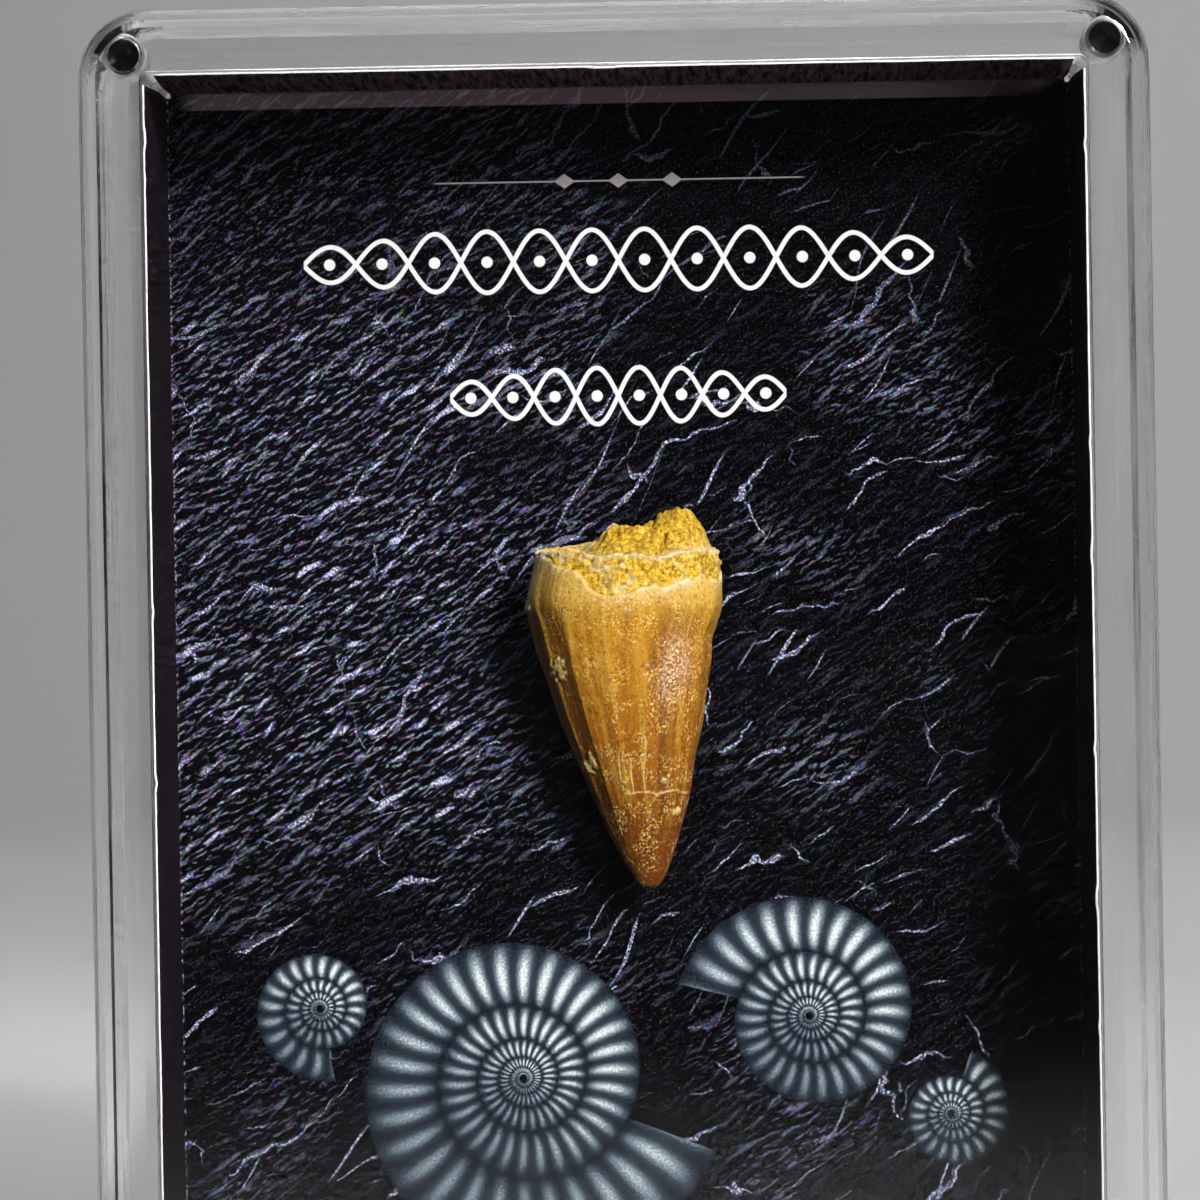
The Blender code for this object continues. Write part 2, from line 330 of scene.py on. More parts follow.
class Sheet:
    """A material's node tree, with the few ways in which this object's finishes add nodes to it."""

    def __init__(self, name: str) -> None:
        """Start an empty material.

        Args:
            name: The material's name.
        """
        self.material = bpy.data.materials.new(name)
        self.material.use_nodes = True
        self.tree = self.material.node_tree
        self.tree.nodes.clear()

    def node(self, kind: str, settings: dict[str, Any], inputs: dict[Any, Any]) -> bpy.types.Node:
        """Add a node.

        Args:
            kind: The node's type.
            settings: Its properties, set first. The key "stops" gives a colour ramp's places and colours.
            inputs: What each socket, by name or number, gets: a Value, a socket, a number or a colour.

        Returns:
            The node.
        """
        made = self.tree.nodes.new(kind)
        for key, setting in settings.items():
            if key == "stops":
                elements = made.color_ramp.elements
                while len(elements) < len(setting):
                    elements.new(1.0)
                for element, (position, colour) in zip(elements, setting):
                    element.position = position
                    element.color = (*colour, 1.0)
            else:
                setattr(made, key, setting)
        for key, given in inputs.items():
            socket = given.socket if isinstance(given, Value) else given
            if isinstance(socket, bpy.types.NodeSocket):
                self.tree.links.new(socket, made.inputs[key])
            elif isinstance(socket, tuple) and len(socket) == 3 and made.inputs[key].type == "RGBA":
                made.inputs[key].default_value = (*socket, 1.0)
            else:
                made.inputs[key].default_value = socket
        return made

    def stored(self, name: str) -> Value:
        """Read a number that the mesh keeps under this name."""
        return Value(self, self.node("ShaderNodeAttribute", {"attribute_name": name}, {}).outputs["Fac"])

    def place(self) -> tuple[Value, Value, Value]:
        """The place on the piece, in millimetres.

        Returns:
            Its x, y and z.
        """
        spot = self.node("ShaderNodeTexCoord", {}, {}).outputs["Object"]
        split = self.node("ShaderNodeSeparateXYZ", {}, {0: spot})
        return tuple(Value(self, output) * 1000.0 for output in split.outputs)

    def vector(self, x: Any, y: Any, z: Any = 0.0) -> bpy.types.NodeSocket:
        """Join three numbers to one vector."""
        return self.node("ShaderNodeCombineXYZ", {}, {0: x, 1: y, 2: z}).outputs[0]

    def grain(self, spot: bpy.types.NodeSocket, scale: float, detail: float = 2.0, rough: float = 0.5) -> Value:
        """Noise round 0.5 at a place, with so many waves to the place's unit."""
        inputs = {"Vector": spot, "Scale": scale, "Detail": detail, "Roughness": rough}
        return Value(self, self.node("ShaderNodeTexNoise", {}, inputs).outputs[0])

    def flat_grain(self, x: Any, y: Any, detail: float = 2.0, rough: float = 0.5) -> Value:
        """Noise round 0.5 on a plane, with one wave to the unit."""
        inputs = {"Vector": self.vector(x, y), "Scale": 1.0, "Detail": detail, "Roughness": rough}
        return Value(self, self.node("ShaderNodeTexNoise", {"noise_dimensions": "2D"}, inputs).outputs[0])

    def flat_cells(self, x: Any, y: Any) -> bpy.types.NodeSocket:
        """A random colour for each cell of an uneven net on a plane, about one cell to the unit."""
        inputs = {"Vector": self.vector(x, y), "Scale": 1.0}
        return self.node("ShaderNodeTexVoronoi", {"voronoi_dimensions": "2D"}, inputs).outputs["Color"]

    def mix(self, first: Any, second: Any, share: Any, blend: str = "MIX") -> bpy.types.NodeSocket:
        """Blend two colours, with the share of the second."""
        settings = {"data_type": "RGBA", "blend_type": blend, "clamp_factor": True}
        return self.node("ShaderNodeMix", settings, {0: share, 6: first, 7: second}).outputs[2]

    def ramp(self, value: Value, stops: Sequence[tuple[float, Colour]]) -> bpy.types.NodeSocket:
        """Read a colour from a row of stops by a value from 0 to 1."""
        return self.node("ShaderNodeValToRGB", {"stops": stops}, {0: value}).outputs[0]

    def relief(self, height: Value, depth: float) -> bpy.types.NodeSocket:
        """Turn a height from 0 to 1 into a normal, with its depth in metres."""
        made = self.node("ShaderNodeBump", {}, {"Height": height, "Distance": depth, "Strength": 1.0})
        return made.outputs[0]

    def body(self, inputs: dict[str, Any]) -> bpy.types.Node:
        """Add the main shader with these inputs and show it.

        Args:
            inputs: What each of its sockets gets.

        Returns:
            The shader's node.
        """
        shader = self.node("ShaderNodeBsdfPrincipled", {}, inputs)
        self.show(shader.outputs[0])
        return shader

    def show(self, surface: bpy.types.NodeSocket) -> None:
        """Make this the material's surface."""
        self.node("ShaderNodeOutputMaterial", {}, {"Surface": surface})


@dataclass(frozen=True)
class ClearAcrylic:
    """Polished clear acrylic whose side walls keep the fine lines of the cutter."""

    tint: Colour = (0.99, 0.99, 0.988)
    bend: float = 1.49
    machined: float = 0.30
    line_depth: float = 0.00006

    def sheet(self, walls: bool) -> Sheet:
        """Make the material: clear for sight, and open for light from lamps.

        Args:
            walls: Whether it is for the machined walls, and not for the polished faces.

        Returns:
            The sheet that holds it.
        """
        sheet = Sheet("machined_acrylic_finish" if walls else "polished_acrylic_finish")
        x, y, z = sheet.place()
        inputs = {"Base Color": self.tint, "IOR": self.bend, "Transmission Weight": 1.0}
        if walls:
            cutter = sheet.flat_grain(y * 3.2, (x + z) * 0.05, 3.0, 0.62)
            tick = sheet.flat_grain((x + z) * 1.6, y * 0.2, 1.0)
            inputs["Roughness"] = cutter.ease(0.35, 0.65) * self.machined + 0.18
            inputs["Normal"] = sheet.relief(cutter * 0.7 + tick * 0.45, self.line_depth)
        else:
            inputs["Roughness"] = sheet.flat_grain(x * 0.06, z * 0.06, 1.0) * 0.02
        shader = sheet.node("ShaderNodeBsdfPrincipled", {}, inputs)
        open_side = sheet.node("ShaderNodeBsdfTransparent", {}, {"Color": (0.93, 0.94, 0.94)})
        lamp = sheet.node("ShaderNodeLightPath", {}, {}).outputs["Is Shadow Ray"]
        both = sheet.node("ShaderNodeMixShader", {}, {0: lamp, 1: shader.outputs[0], 2: open_side.outputs[0]})
        sheet.show(both.outputs[0])
        return sheet


@dataclass(frozen=True)
class BrightNickel:
    """Nickel plating with the rings that turning leaves on a small disc's face, painted nearly black on the face as a
    painted dark reflection and pale at the rim as a painted highlight.
    """

    # Painted dark reflection: the face colour is nearly black.
    colour: Colour = (0.05, 0.048, 0.046)
    rim_painted_highlight: Colour = (0.62, 0.61, 0.59)

    def sheet(self) -> Sheet:
        """Make the material.

        Returns:
            The sheet that holds it.
        """
        sheet = Sheet("nickel_finish")
        x, y, z = sheet.place()
        reach = sheet.stored("reach")
        rings = (reach * 46.0 + sheet.grain(sheet.vector(x, y, z), 1.6) * 9.0).wave() * 0.5 + 0.5
        stain = sheet.grain(sheet.vector(x, y, z), 1.1, 4.0, 0.65)
        colour = sheet.mix(self.colour, (0.020, 0.019, 0.018), stain.ease(0.44, 0.62) * 0.8)
        # Painted highlight: the rim turns pale against the dark face.
        colour = sheet.mix(colour, self.rim_painted_highlight, reach.ease(1.18, 1.34))
        sheet.body(
            {
                "Base Color": colour,
                "Metallic": 1.0,
                "Roughness": stain * 0.16 + 0.06,
                "Normal": sheet.relief(rings * 0.6 + stain * 0.4, 0.000008),
            }
        )
        return sheet


@dataclass(frozen=True)
class WhiteCore:
    """The cut edge of the card: white fibres with a few grey ones."""

    colour: Colour = (0.86, 0.85, 0.82)

    def sheet(self) -> Sheet:
        """Make the material.

        Returns:
            The sheet that holds it.
        """
        sheet = Sheet("white_core_finish")
        x, y, z = sheet.place()
        fibre = sheet.grain(sheet.vector(x, y * 3.0, z), 3.5, 4.0, 0.6)
        sheet.body(
            {
                "Base Color": sheet.mix(self.colour, (0.55, 0.54, 0.52), fibre.ease(0.55, 0.75)),
                "Roughness": fibre * 0.2 + 0.7,
                "Normal": sheet.relief(fibre, 0.00005),
            }
        )
        return sheet


@dataclass(frozen=True)
class CardBack:
    """The outside of the card: dark grey paper with a soft mottle."""

    colour: Colour = (0.16, 0.16, 0.165)

    def sheet(self) -> Sheet:
        """Make the material.

        Returns:
            The sheet that holds it.
        """
        sheet = Sheet("card_back_finish")
        x, y, z = sheet.place()
        fibre = sheet.grain(sheet.vector(x * 0.8, y, z * 2.0), 2.2, 5.0, 0.62)
        cloud = sheet.grain(sheet.vector(x, y, z), 0.12, 3.0)
        darker = (0.11, 0.11, 0.115)
        sheet.body(
            {
                "Base Color": sheet.mix(self.colour, darker, fibre.ease(0.4, 0.7) * 0.6 + cloud * 0.3),
                "Roughness": fibre * 0.15 + 0.72,
                "Normal": sheet.relief(fibre, 0.00004),
            }
        )
        return sheet


@dataclass(frozen=True)
class Ornament:
    """A band of two waves that cross, with a dot in each eye, printed in a pale tone."""

    centre: tuple[float, float]
    half_length: float
    half_height: float
    wave_length: float
    stroke: float = 0.17

    def mask(self, across: Value, up: Value) -> Value:
        """Where the band is printed.

        A wave's distance is the height from it over the root of one plus its slope squared.

        Args:
            across: The place across the card, from its middle.
            up: The place up the card, from its middle.

        Returns:
            1 on the strokes and dots, 0 elsewhere.
        """
        u, v = across - self.centre[0], up - self.centre[1]
        inside = u.size().ease(self.half_length, self.half_length - 0.08)
        swell = u.size().ease(self.half_length, self.half_length - 1.6 * self.wave_length) * 0.45 + 0.55
        turn = TURN / self.wave_length
        steep = self.half_height * turn
        slant = ((u * turn).math("COSINE") * steep * swell) ** 2 + 1.0
        rise = (u * turn).wave() * self.half_height * swell
        nearest = (v.size() - rise.size()).size() / slant.math("SQRT")
        strokes = nearest.ease(self.stroke + 0.05, self.stroke - 0.03)
        half = self.wave_length / 2
        eye = ((u / half).rest() - 0.5) * half
        dots = (eye**2.0 + v**2.0).math("SQRT").ease(0.5, 0.42)
        return strokes.most(dots) * inside


@dataclass(frozen=True)
class Ammonite:
    """A coiled, ribbed shell printed as a picture, drawn on a growing spiral."""

    centre: tuple[float, float]
    inner_reach: float
    growth: float = 1.85
    ribs: int = 26
    start_turn: float = 0.0

    def draw(self, across: Value, up: Value) -> tuple[Value, Value]:
        """Where the shell is and how light it is.

        The spiral's radius grows by a fixed factor each turn. The place's logarithm of radius less its share of a
        turn gives the whorl, as a whole number, and the place across that whorl, as the rest.

        Args:
            across: The place across the card, from its middle.
            up: The place up the card, from its middle.

        Returns:
            The shell's mask, and its tone from 0 to 1.
        """
        u, v = across - self.centre[0], up - self.centre[1]
        reach = (u**2.0 + v**2.0).math("SQRT").most(0.05)
        turn = (v.math("ARCTAN2", u) / TURN + (0.5 + self.start_turn)).rest()
        whorl = (reach / self.inner_reach).math("LOGARITHM", self.growth) - turn
        inside = whorl.ease(0.0, -0.012) * reach.ease(0.25, 0.45)
        over = whorl.rest()
        tube = (1.0 - (over * 2.0 - 1.0) ** 2.0).most(0.0).math("SQRT")
        bend = ((over - 0.35) ** 2.0) * 3.4
        rib = (turn * TURN * self.ribs + bend).wave() * 0.5 + 0.5
        light = (v * 0.6 + u * 0.3) / reach * 0.22 + 0.72
        return inside, (tube * (rib * 0.62 + 0.30) * light).ease(0.0, 0.92)


@dataclass(frozen=True)
class SlatePrint:
    """A print of dark slate: short pale ridges that rise to the right, longer cracks, and fine coloured dots."""

    ink: Colour = (0.0012, 0.0010, 0.0015)
    ridge: Colour = (0.43, 0.43, 0.67)
    bands: tuple[Ornament, ...] = (
        Ornament((-0.1, 34.7), 25.8, 2.5, 8.6),
        Ornament((-0.3, 23.6), 13.8, 2.3, 6.9),
    )
    shells: tuple[Ammonite, ...] = (
        Ammonite((-9.0, -32.2), 9.2, 1.85, 30, 0.56),
        Ammonite((14.5, -27.4), 6.0, 1.85, 26, 0.04),
        Ammonite((26.0, -35.6), 3.0, 1.8, 20, 0.30),
        Ammonite((-25.6, -26.2), 3.4, 1.8, 20, 0.72),
    )

    @staticmethod
    def strokes(sheet: Sheet, spot: tuple[Value, Value], degrees: float, waves: Sequence[float]) -> Value:
        """Ridges in one direction, lit from one side: noise stretched along them less the same a step over.

        Args:
            sheet: The sheet to add to.
            spot: The place on the card.
            degrees: How steeply the ridges rise to the right.
            waves: Waves to the millimetre along the ridges and across them, and the step in waves.

        Returns:
            0 in the shade, and up to about 1.2 steps on a slope that faces the light.
        """
        along, over, step = waves
        c, s = math.cos(math.radians(degrees)), math.sin(math.radians(degrees))
        u, v = (spot[0] * c + spot[1] * s) * along, (spot[1] * c - spot[0] * s) * over
        return sheet.flat_grain(u, v, 1.0) - sheet.flat_grain(u + step * 0.25, v + step, 1.0)

    def ridges(self, sheet: Sheet, a: Value, b: Value, fine: Value) -> Value:
        """How light the slate is: short dashes that crowd at the left, and long thin folds in four directions.

        Both are darker towards the top of the card, as a painted shadow of the upper flap.

        Args:
            sheet: The sheet to add to.
            a: The place across the unfolded card, from its middle.
            b: The place up the unfolded card, from its middle.
            fine: Fine noise that breaks the lines up.

        Returns:
            0 in the dark stone to about 1 on a ridge.
        """
        drift = sheet.flat_grain(a * 0.07, b * 0.07, 1.0) - 0.5
        wobble = sheet.flat_grain(a * 0.42 + 31.0, b * 0.42 - 17.0, 2.0) - 0.5
        left = a.ease(4.0, -24.0) * b.ease(-28.0, 6.0)
        crowd = (drift * 2.0 + left * 0.95 + 0.10).ease(0.0, 0.95)
        small = self.strokes(sheet, (a + wobble, b), 35.0, (0.85, 1.9, 0.24)).ease(0.03, 0.19)
        large = self.strokes(sheet, (a, b + wobble * 1.2), 37.0, (0.30, 0.95, 0.24)).ease(0.09, 0.22)
        light = (small * (crowd * 0.62 + 0.05)).most(large * (crowd * 0.95 + 0.05))
        # Painted shadow: the ridges dim towards the top, where the upper flap's shadow falls.
        clear_of_painted_shadow = b.ease(38.0, 24.0)
        a, b = a + wobble * 1.8, b + wobble * 2.6 + drift * 9.0
        for degrees, waves, low in (
            (32.0, (0.10, 0.95, 0.12), 0.094),
            (57.0, (0.08, 1.00, 0.12), 0.110),
            (8.0, (0.08, 0.60, 0.08), 0.079),
            (118.0, (0.09, 0.60, 0.08), 0.084),
        ):
            fold = self.strokes(sheet, (a, b), degrees, waves).ease(low, low * 1.25)
            light = light.most(fold * (fine * 1.3))
        return light * (clear_of_painted_shadow * 0.65 + 0.35)

    def sheet(self) -> Sheet:
        """Make the material.

        Returns:
            The sheet that holds it.
        """
        sheet = Sheet("slate_print_finish")
        a, b, forward = sheet.stored("net_across"), sheet.stored("net_up"), sheet.stored("forward")
        fine = sheet.flat_grain(a * 5.5, b * 5.5, 1.0)
        light = self.ridges(sheet, a, b, fine)
        dots = sheet.mix((0.6, 0.6, 0.6), sheet.flat_cells(a * 7.5, b * 7.5), 0.75)
        ridge = sheet.mix(self.ridge, dots, 1.0, "MULTIPLY")
        ridge = sheet.mix(ridge, (0.62, 0.61, 0.80), (light * fine).ease(0.36, 0.60))
        sheen = a.ease(12.0, -34.0) * b.ease(45.0, 26.0) * b.ease(-12.0, 16.0)
        stone = sheet.mix(self.ink, (0.0035, 0.0028, 0.0055), sheen * (fine * 1.6 - 0.3).most(0.0))
        stone = sheet.mix(stone, ridge, (light * (fine * 2.4 - 0.3)).least(1.0).most(0.0))
        stone = sheet.mix(stone, dots, fine.ease(0.66, 0.80) * 0.08)
        # Painted light: a pale strip just under the upper fold, coloured as if light fell on the panel there.
        strip = b.ease(47.45, 47.6) * a.size().ease(36.2, 34.0)
        stone = sheet.mix(stone, sheet.mix((0.24, 0.17, 0.21), (0.95, 0.84, 0.95), light), strip)

        stone = sheet.mix(stone, (0.34, 0.30, 0.31), self.rule(a, b))
        for band in self.bands:
            stone = sheet.mix(stone, (0.74, 0.70, 0.70), band.mask(a, b))
        for shell in self.shells:
            inside, tone = shell.draw(a, b)
            dotted = (tone * 0.95 + (fine - 0.5) * 0.45).least(1.0).most(0.0)
            stops = [
                (0.0, (0.006, 0.008, 0.012)),
                (0.3, (0.040, 0.055, 0.075)),
                (0.62, (0.20, 0.25, 0.29)),
                (0.95, (0.80, 0.84, 0.82)),
            ]
            stone = sheet.mix(stone, sheet.ramp(dotted, stops), inside)

        crease = (forward - 0.14).size().ease(0.12, 0.03) * sheet.flat_grain(a * 2.6, b * 2.6).ease(0.54, 0.64)
        colour = sheet.mix(stone, (0.42, 0.36, 0.36), crease * 0.8)
        sheet.body({"Base Color": colour, "Roughness": fine * 0.2 + 0.6, "Specular IOR Level": 0.0})
        return sheet

    @staticmethod
    def rule(a: Value, b: Value) -> Value:
        """A thin line across the upper card with three small diamonds on it.

        Args:
            a: The place across the unfolded card, from its middle.
            b: The place up the unfolded card, from its middle.

        Returns:
            1 on the line and the diamonds, 0 beside them.
        """
        v = (b - 41.2).size()
        line = v.ease(0.09, 0.04) * a.size().ease(15.4, 14.6)
        beads = [((a - offset).size() * 0.7 + v).ease(0.62, 0.56) for offset in (-4.4, 0.0, 4.4)]
        return line.most(beads[0]).most(beads[1]).most(beads[2])


@dataclass(frozen=True)
class DarkFlap:
    """The flaps' print: dark, with faint streaks towards the window and a few hairline scratches."""

    dark: Colour = (0.0045, 0.0032, 0.005)
    light: Colour = (0.017, 0.011, 0.017)
    upper_flap_painted_light: Colour = (0.42, 0.27, 0.34)
    upper_start: float = 49.0

    def sheet(self) -> Sheet:
        """Make the material, with painted light that makes the upper flap lighter.

        Returns:
            The sheet that holds it.
        """
        sheet = Sheet("dark_flap_finish")
        run, forward, up = sheet.stored("run"), sheet.stored("forward"), sheet.stored("net_up")
        streak = sheet.flat_grain(run * 2.2, forward * 0.12, 3.0, 0.62)
        hair = sheet.flat_grain(run * 0.3 + forward * 0.5, forward * 0.25 - run * 0.12, 1.0)
        scratch = (hair - 0.5).size().ease(0.007, 0.001) * streak.ease(0.48, 0.62)
        # Painted light: the upper flap's colour turns pale, to stand for light falling on it.
        light = sheet.mix(self.light, self.upper_flap_painted_light, up.ease(self.upper_start, self.upper_start + 0.3))
        colour = sheet.mix(self.dark, light, streak.ease(0.30, 0.72))
        colour = sheet.mix(colour, (0.16, 0.10, 0.13), scratch * 0.5)
        sheet.body({"Base Color": colour, "Roughness": streak * 0.2 + 0.55, "Specular IOR Level": 0.01})
        return sheet


@dataclass(frozen=True)
class FossilTooth:
    """Amber enamel with flutes, a brown tip, a cream broken edge, and ochre sandy matrix over it."""

    def sheet(self) -> Sheet:
        """Make the material.

        Returns:
            The sheet that holds it.
        """
        sheet = Sheet("fossil_tooth_finish")
        x, y, z = sheet.place()
        spot = sheet.vector(x, y, z)
        height, band, pale = sheet.stored("height"), sheet.stored("band"), sheet.stored("pale")
        stripe, mark, patch = sheet.stored("stripe"), sheet.stored("mark"), sheet.stored("patch")
        cloud = sheet.grain(spot, 0.35, 2.0)
        fine = sheet.grain(spot, 3.4, 3.0, 0.66)
        level = (height + (cloud - 0.5) * 4.0) / 27.0
        stops = [
            (0.0, (0.15, 0.034, 0.003)),
            (0.20, (0.20, 0.048, 0.003)),
            (0.34, (0.34, 0.105, 0.005)),
            (0.58, (0.47, 0.165, 0.006)),
            (0.80, (0.58, 0.24, 0.012)),
            (0.92, (0.76, 0.46, 0.08)),
        ]
        enamel = sheet.ramp(level, stops)
        dark = sheet.mix(enamel, (0.13, 0.038, 0.003), 0.75)
        # The dark stripes, with the painted shade down the left facet that the marks add to them, darken the enamel.
        enamel = sheet.mix(enamel, dark, (stripe * (fine * 1.6 + 0.2)).least(1.0).most(0.0))
        enamel = sheet.mix(enamel, (0.72, 0.42, 0.05), (0.0 - stripe).ease(0.1, 0.7) * 0.38)
        enamel = sheet.mix(enamel, (0.13, 0.038, 0.004), fine.ease(0.455, 0.36) * 0.62)
        golden = sheet.grain(spot, 4.6, 3.0, 0.68)
        loose = sheet.grain(spot, 0.75, 1.0).ease(0.40, 0.64) * 0.85 + 0.15
        enamel = sheet.mix(enamel, (0.88, 0.50, 0.035), golden.ease(0.535, 0.60) * loose * 0.75)
        white = sheet.grain(sheet.vector(x + 9.0, y, z * 0.8), 5.6, 2.0, 0.66).ease(0.58, 0.64)
        enamel = sheet.mix(enamel, (0.98, 0.80, 0.50), (white * (patch * 1.2 + loose * 0.7)).least(1.0))
        rough_spot = sheet.mix((0.38, 0.13, 0.06), (0.92, 0.70, 0.46), golden.ease(0.44, 0.56))
        enamel = sheet.mix(enamel, rough_spot, (patch * fine.ease(0.40, 0.52)).least(0.95))
        enamel = sheet.mix(enamel, (0.90, 0.76, 0.50), (pale * (golden * 2.8 - 0.5)).least(1.0).most(0.0))
        enamel = sheet.mix(enamel, (0.93, 0.68, 0.26), mark * (golden * 3.0 - 0.7).least(1.0).most(0.0))

        sand = sheet.grain(spot, 2.9, 4.0, 0.74)
        stops = [
            (0.32, (0.16, 0.080, 0.014)),
            (0.43, (0.46, 0.235, 0.018)),
            (0.51, (0.76, 0.44, 0.024)),
            (0.61, (0.90, 0.60, 0.07)),
            (0.73, (0.95, 0.80, 0.42)),
        ]
        stone = sheet.ramp(sand, stops)
        grey = cloud.ease(0.47, 0.60) * (height.ease(28.2, 27.0) * 0.25 + 0.05)
        stone = sheet.mix(stone, (0.52, 0.37, 0.13), grey)
        stone = sheet.mix(stone, (0.94, 0.78, 0.46), (pale * (golden * 2.6 - 0.4)).least(1.0).most(0.0))
        colour = sheet.mix(enamel, stone, band)
        sheet.body(
            {
                "Base Color": colour,
                "Roughness": (band * 0.45 + fine * 0.2 + 0.30).least(0.95),
                "Specular IOR Level": 0.16,
                "Normal": sheet.relief(fine * 0.6 + band * sand * 1.2, 0.00015),
            }
        )
        return sheet


@dataclass(frozen=True)
class MountingPutty:
    """Off-white putty, dull and a little uneven."""

    def sheet(self) -> Sheet:
        """Make the material.

        Returns:
            The sheet that holds it.
        """
        sheet = Sheet("putty_finish")
        x, y, z = sheet.place()
        soft = sheet.grain(sheet.vector(x, y, z), 1.4, 4.0, 0.6)
        sheet.body(
            {
                "Base Color": sheet.mix((0.70, 0.70, 0.67), (0.52, 0.52, 0.50), soft.ease(0.35, 0.7)),
                "Roughness": soft * 0.2 + 0.65,
                "Normal": sheet.relief(soft, 0.00008),
            }
        )
        return sheet


@dataclass(frozen=True)
class StudioGrey:
    """The pale seamless paper behind and under the case, shaded at its far sides."""

    colour: Colour = (0.62, 0.62, 0.62)
    painted_shade: Colour = (0.10, 0.10, 0.105)

    def sheet(self) -> Sheet:
        """Make the material.

        Returns:
            The sheet that holds it.
        """
        sheet = Sheet("studio_paper_finish")
        x, y, z = sheet.place()
        cloud = sheet.grain(sheet.vector(x, y, z), 0.004, 2.0)
        # Painted shade: the paper darkens towards its far sides at the back.
        aside = x.size().ease(260.0, 560.0) * y.ease(600.0, 1100.0)
        colour = sheet.mix(sheet.mix(self.colour, (0.58, 0.58, 0.585), cloud), self.painted_shade, aside)
        sheet.body({"Base Color": colour, "Roughness": 0.8})
        return sheet


# The object


@dataclass
class Case:
    """Two clear covers that bend round one pocket, with blind holes for magnets in their corners."""

    width: float = 84.0
    height: float = 108.0
    depth: float = 25.4
    joint_gap: float = 0.15
    border: float = 4.7
    window: float = 2.7
    corner_radius: float = 5.4
    edge_radius: float = 1.5
    joint_edge: float = 0.13
    pocket_radius: float = 0.8
    pocket_fillet: float = 0.3
    mouth_edge: float = 0.08
    hole_radius: float = 1.7
    hole_depth: float = 3.4
    magnet_inset: float = 3.1
    corner_steps: int = 18
    wall_limit: float = 0.96
    finish: ClearAcrylic = field(default_factory=ClearAcrylic)

    def outline(self, half_width: float, half_height: float, radius: float, y: float) -> Array:
        """A rectangle with round corners in a plane across Y.

        Each corner is a quarter circle about the rectangle's corner drawn in by the radius.

        Args:
            half_width: From the middle to the side.
            half_height: From the middle to the top.
            radius: Of the corners.
            y: Where the plane is.

        Returns:
            The points, anticlockwise seen from the front.
        """
        quarter = np.linspace(0, TURN / 4, self.corner_steps + 1)
        angle = (quarter[None, :] + np.arange(4)[:, None] * TURN / 4).ravel()
        side = np.repeat([1, -1, -1, 1], self.corner_steps + 1)
        top = np.repeat([1, 1, -1, -1], self.corner_steps + 1)
        x = side * (half_width - radius) + radius * np.cos(angle)
        z = top * (half_height - radius) + radius * np.sin(angle) + self.height / 2
        return np.stack([x, np.full_like(x, y), z], -1)

    def profile(self) -> list[tuple[float, float, float, float]]:
        """The cover's rings from the middle of its outer face round to the middle of its window's inner face.

        Returns:
            Half width, half height, corner radius and depth below the outer face of each ring.
        """
        w, h, r = self.width / 2, self.height / 2, self.corner_radius
        thick = self.depth / 2 - self.joint_gap / 2
        quarter = np.linspace(0, TURN / 4, 5)
        rings = []
        for t in quarter:
            inward = self.edge_radius * (1 - math.sin(t))
            rings.append((w - inward, h - inward, r - inward, self.edge_radius * (1 - math.cos(t))))
        for t in quarter:
            inward = self.joint_edge * (1 - math.cos(t))
            down = thick - self.joint_edge * (1 - math.sin(t))
            rings.append((w - inward, h - inward, r - inward, down))
        w, h, r = w - self.border, h - self.border, self.pocket_radius
        for t in quarter[::2]:
            outward = self.mouth_edge * (1 - math.sin(t))
            rings.append((w + outward, h + outward, r + outward, thick - self.mouth_edge * (1 - math.cos(t))))
        for t in quarter:
            inward = self.pocket_fillet * (1 - math.cos(t))
            down = self.window + self.pocket_fillet * (1 - math.sin(t))
            rings.append((w - inward, h - inward, r - inward, down))
        return rings

    def drills(self, half: Half) -> bpy.types.Mesh:
        """Four cylinders that cut the blind magnet holes, from just past the joint down to their floor.

        Args:
            half: Which cover they cut.

        Returns:
            One mesh of all four.
        """
        columns = 48
        angle = np.arange(columns) * TURN / columns
        points, faces = [], []
        reach_x, reach_z = self.width / 2 - self.magnet_inset, self.height / 2 - self.magnet_inset
        for corner_x in (-reach_x, reach_x):
            for corner_z in (-reach_z, reach_z):
                start = len(points) * columns
                for y in (-1.0, self.hole_depth):
                    x = corner_x + self.hole_radius * np.cos(angle)
                    z = corner_z + self.hole_radius * np.sin(angle) + self.height / 2
                    points.append(np.stack([x, np.full_like(x, half.value * y), z], -1))
                faces += (ring_faces(2, columns) + start).tolist()
                faces.append((np.arange(columns) + start).tolist())
                faces.append((np.arange(columns)[::-1] + start + columns).tolist())
        return make_mesh("drills", np.concatenate(points), faces)

    def build(self, half: Half) -> bpy.types.Mesh:
        """Make one cover: its rings joined, its two ends closed flat, and its holes cut.

        Args:
            half: Which cover.

        Returns:
            Its mesh.
        """
        rings = []
        for half_width, half_height, radius, down in self.profile():
            y = half.value * (self.depth / 2 - down)
            rings.append(self.outline(half_width, half_height, radius, y))
        columns = len(rings[0])
        faces = ring_faces(len(rings), columns).tolist()
        faces.append(np.arange(columns)[::-1].tolist())
        faces.append((np.arange(columns) + (len(rings) - 1) * columns).tolist())
        name = "case_front" if half is Half.FRONT else "case_back"
        whole = bpy.data.objects.new(name, make_mesh(name, np.concatenate(rings), faces))
        cutter = bpy.data.objects.new("drills", self.drills(half))
        for helper in (whole, cutter):
            bpy.context.scene.collection.objects.link(helper)
        cut = whole.modifiers.new("Holes", "BOOLEAN")
        cut.solver, cut.operation, cut.object = "EXACT", "DIFFERENCE", cutter
        bpy.context.view_layer.update()
        mesh = bpy.data.meshes.new_from_object(whole.evaluated_get(bpy.context.evaluated_depsgraph_get()))
        for helper in (whole, cutter):
            bpy.data.objects.remove(helper, do_unlink=True)
        mesh.name = name
        mesh.materials.clear()
        sharpen(mesh, 32, 15)
        return mesh

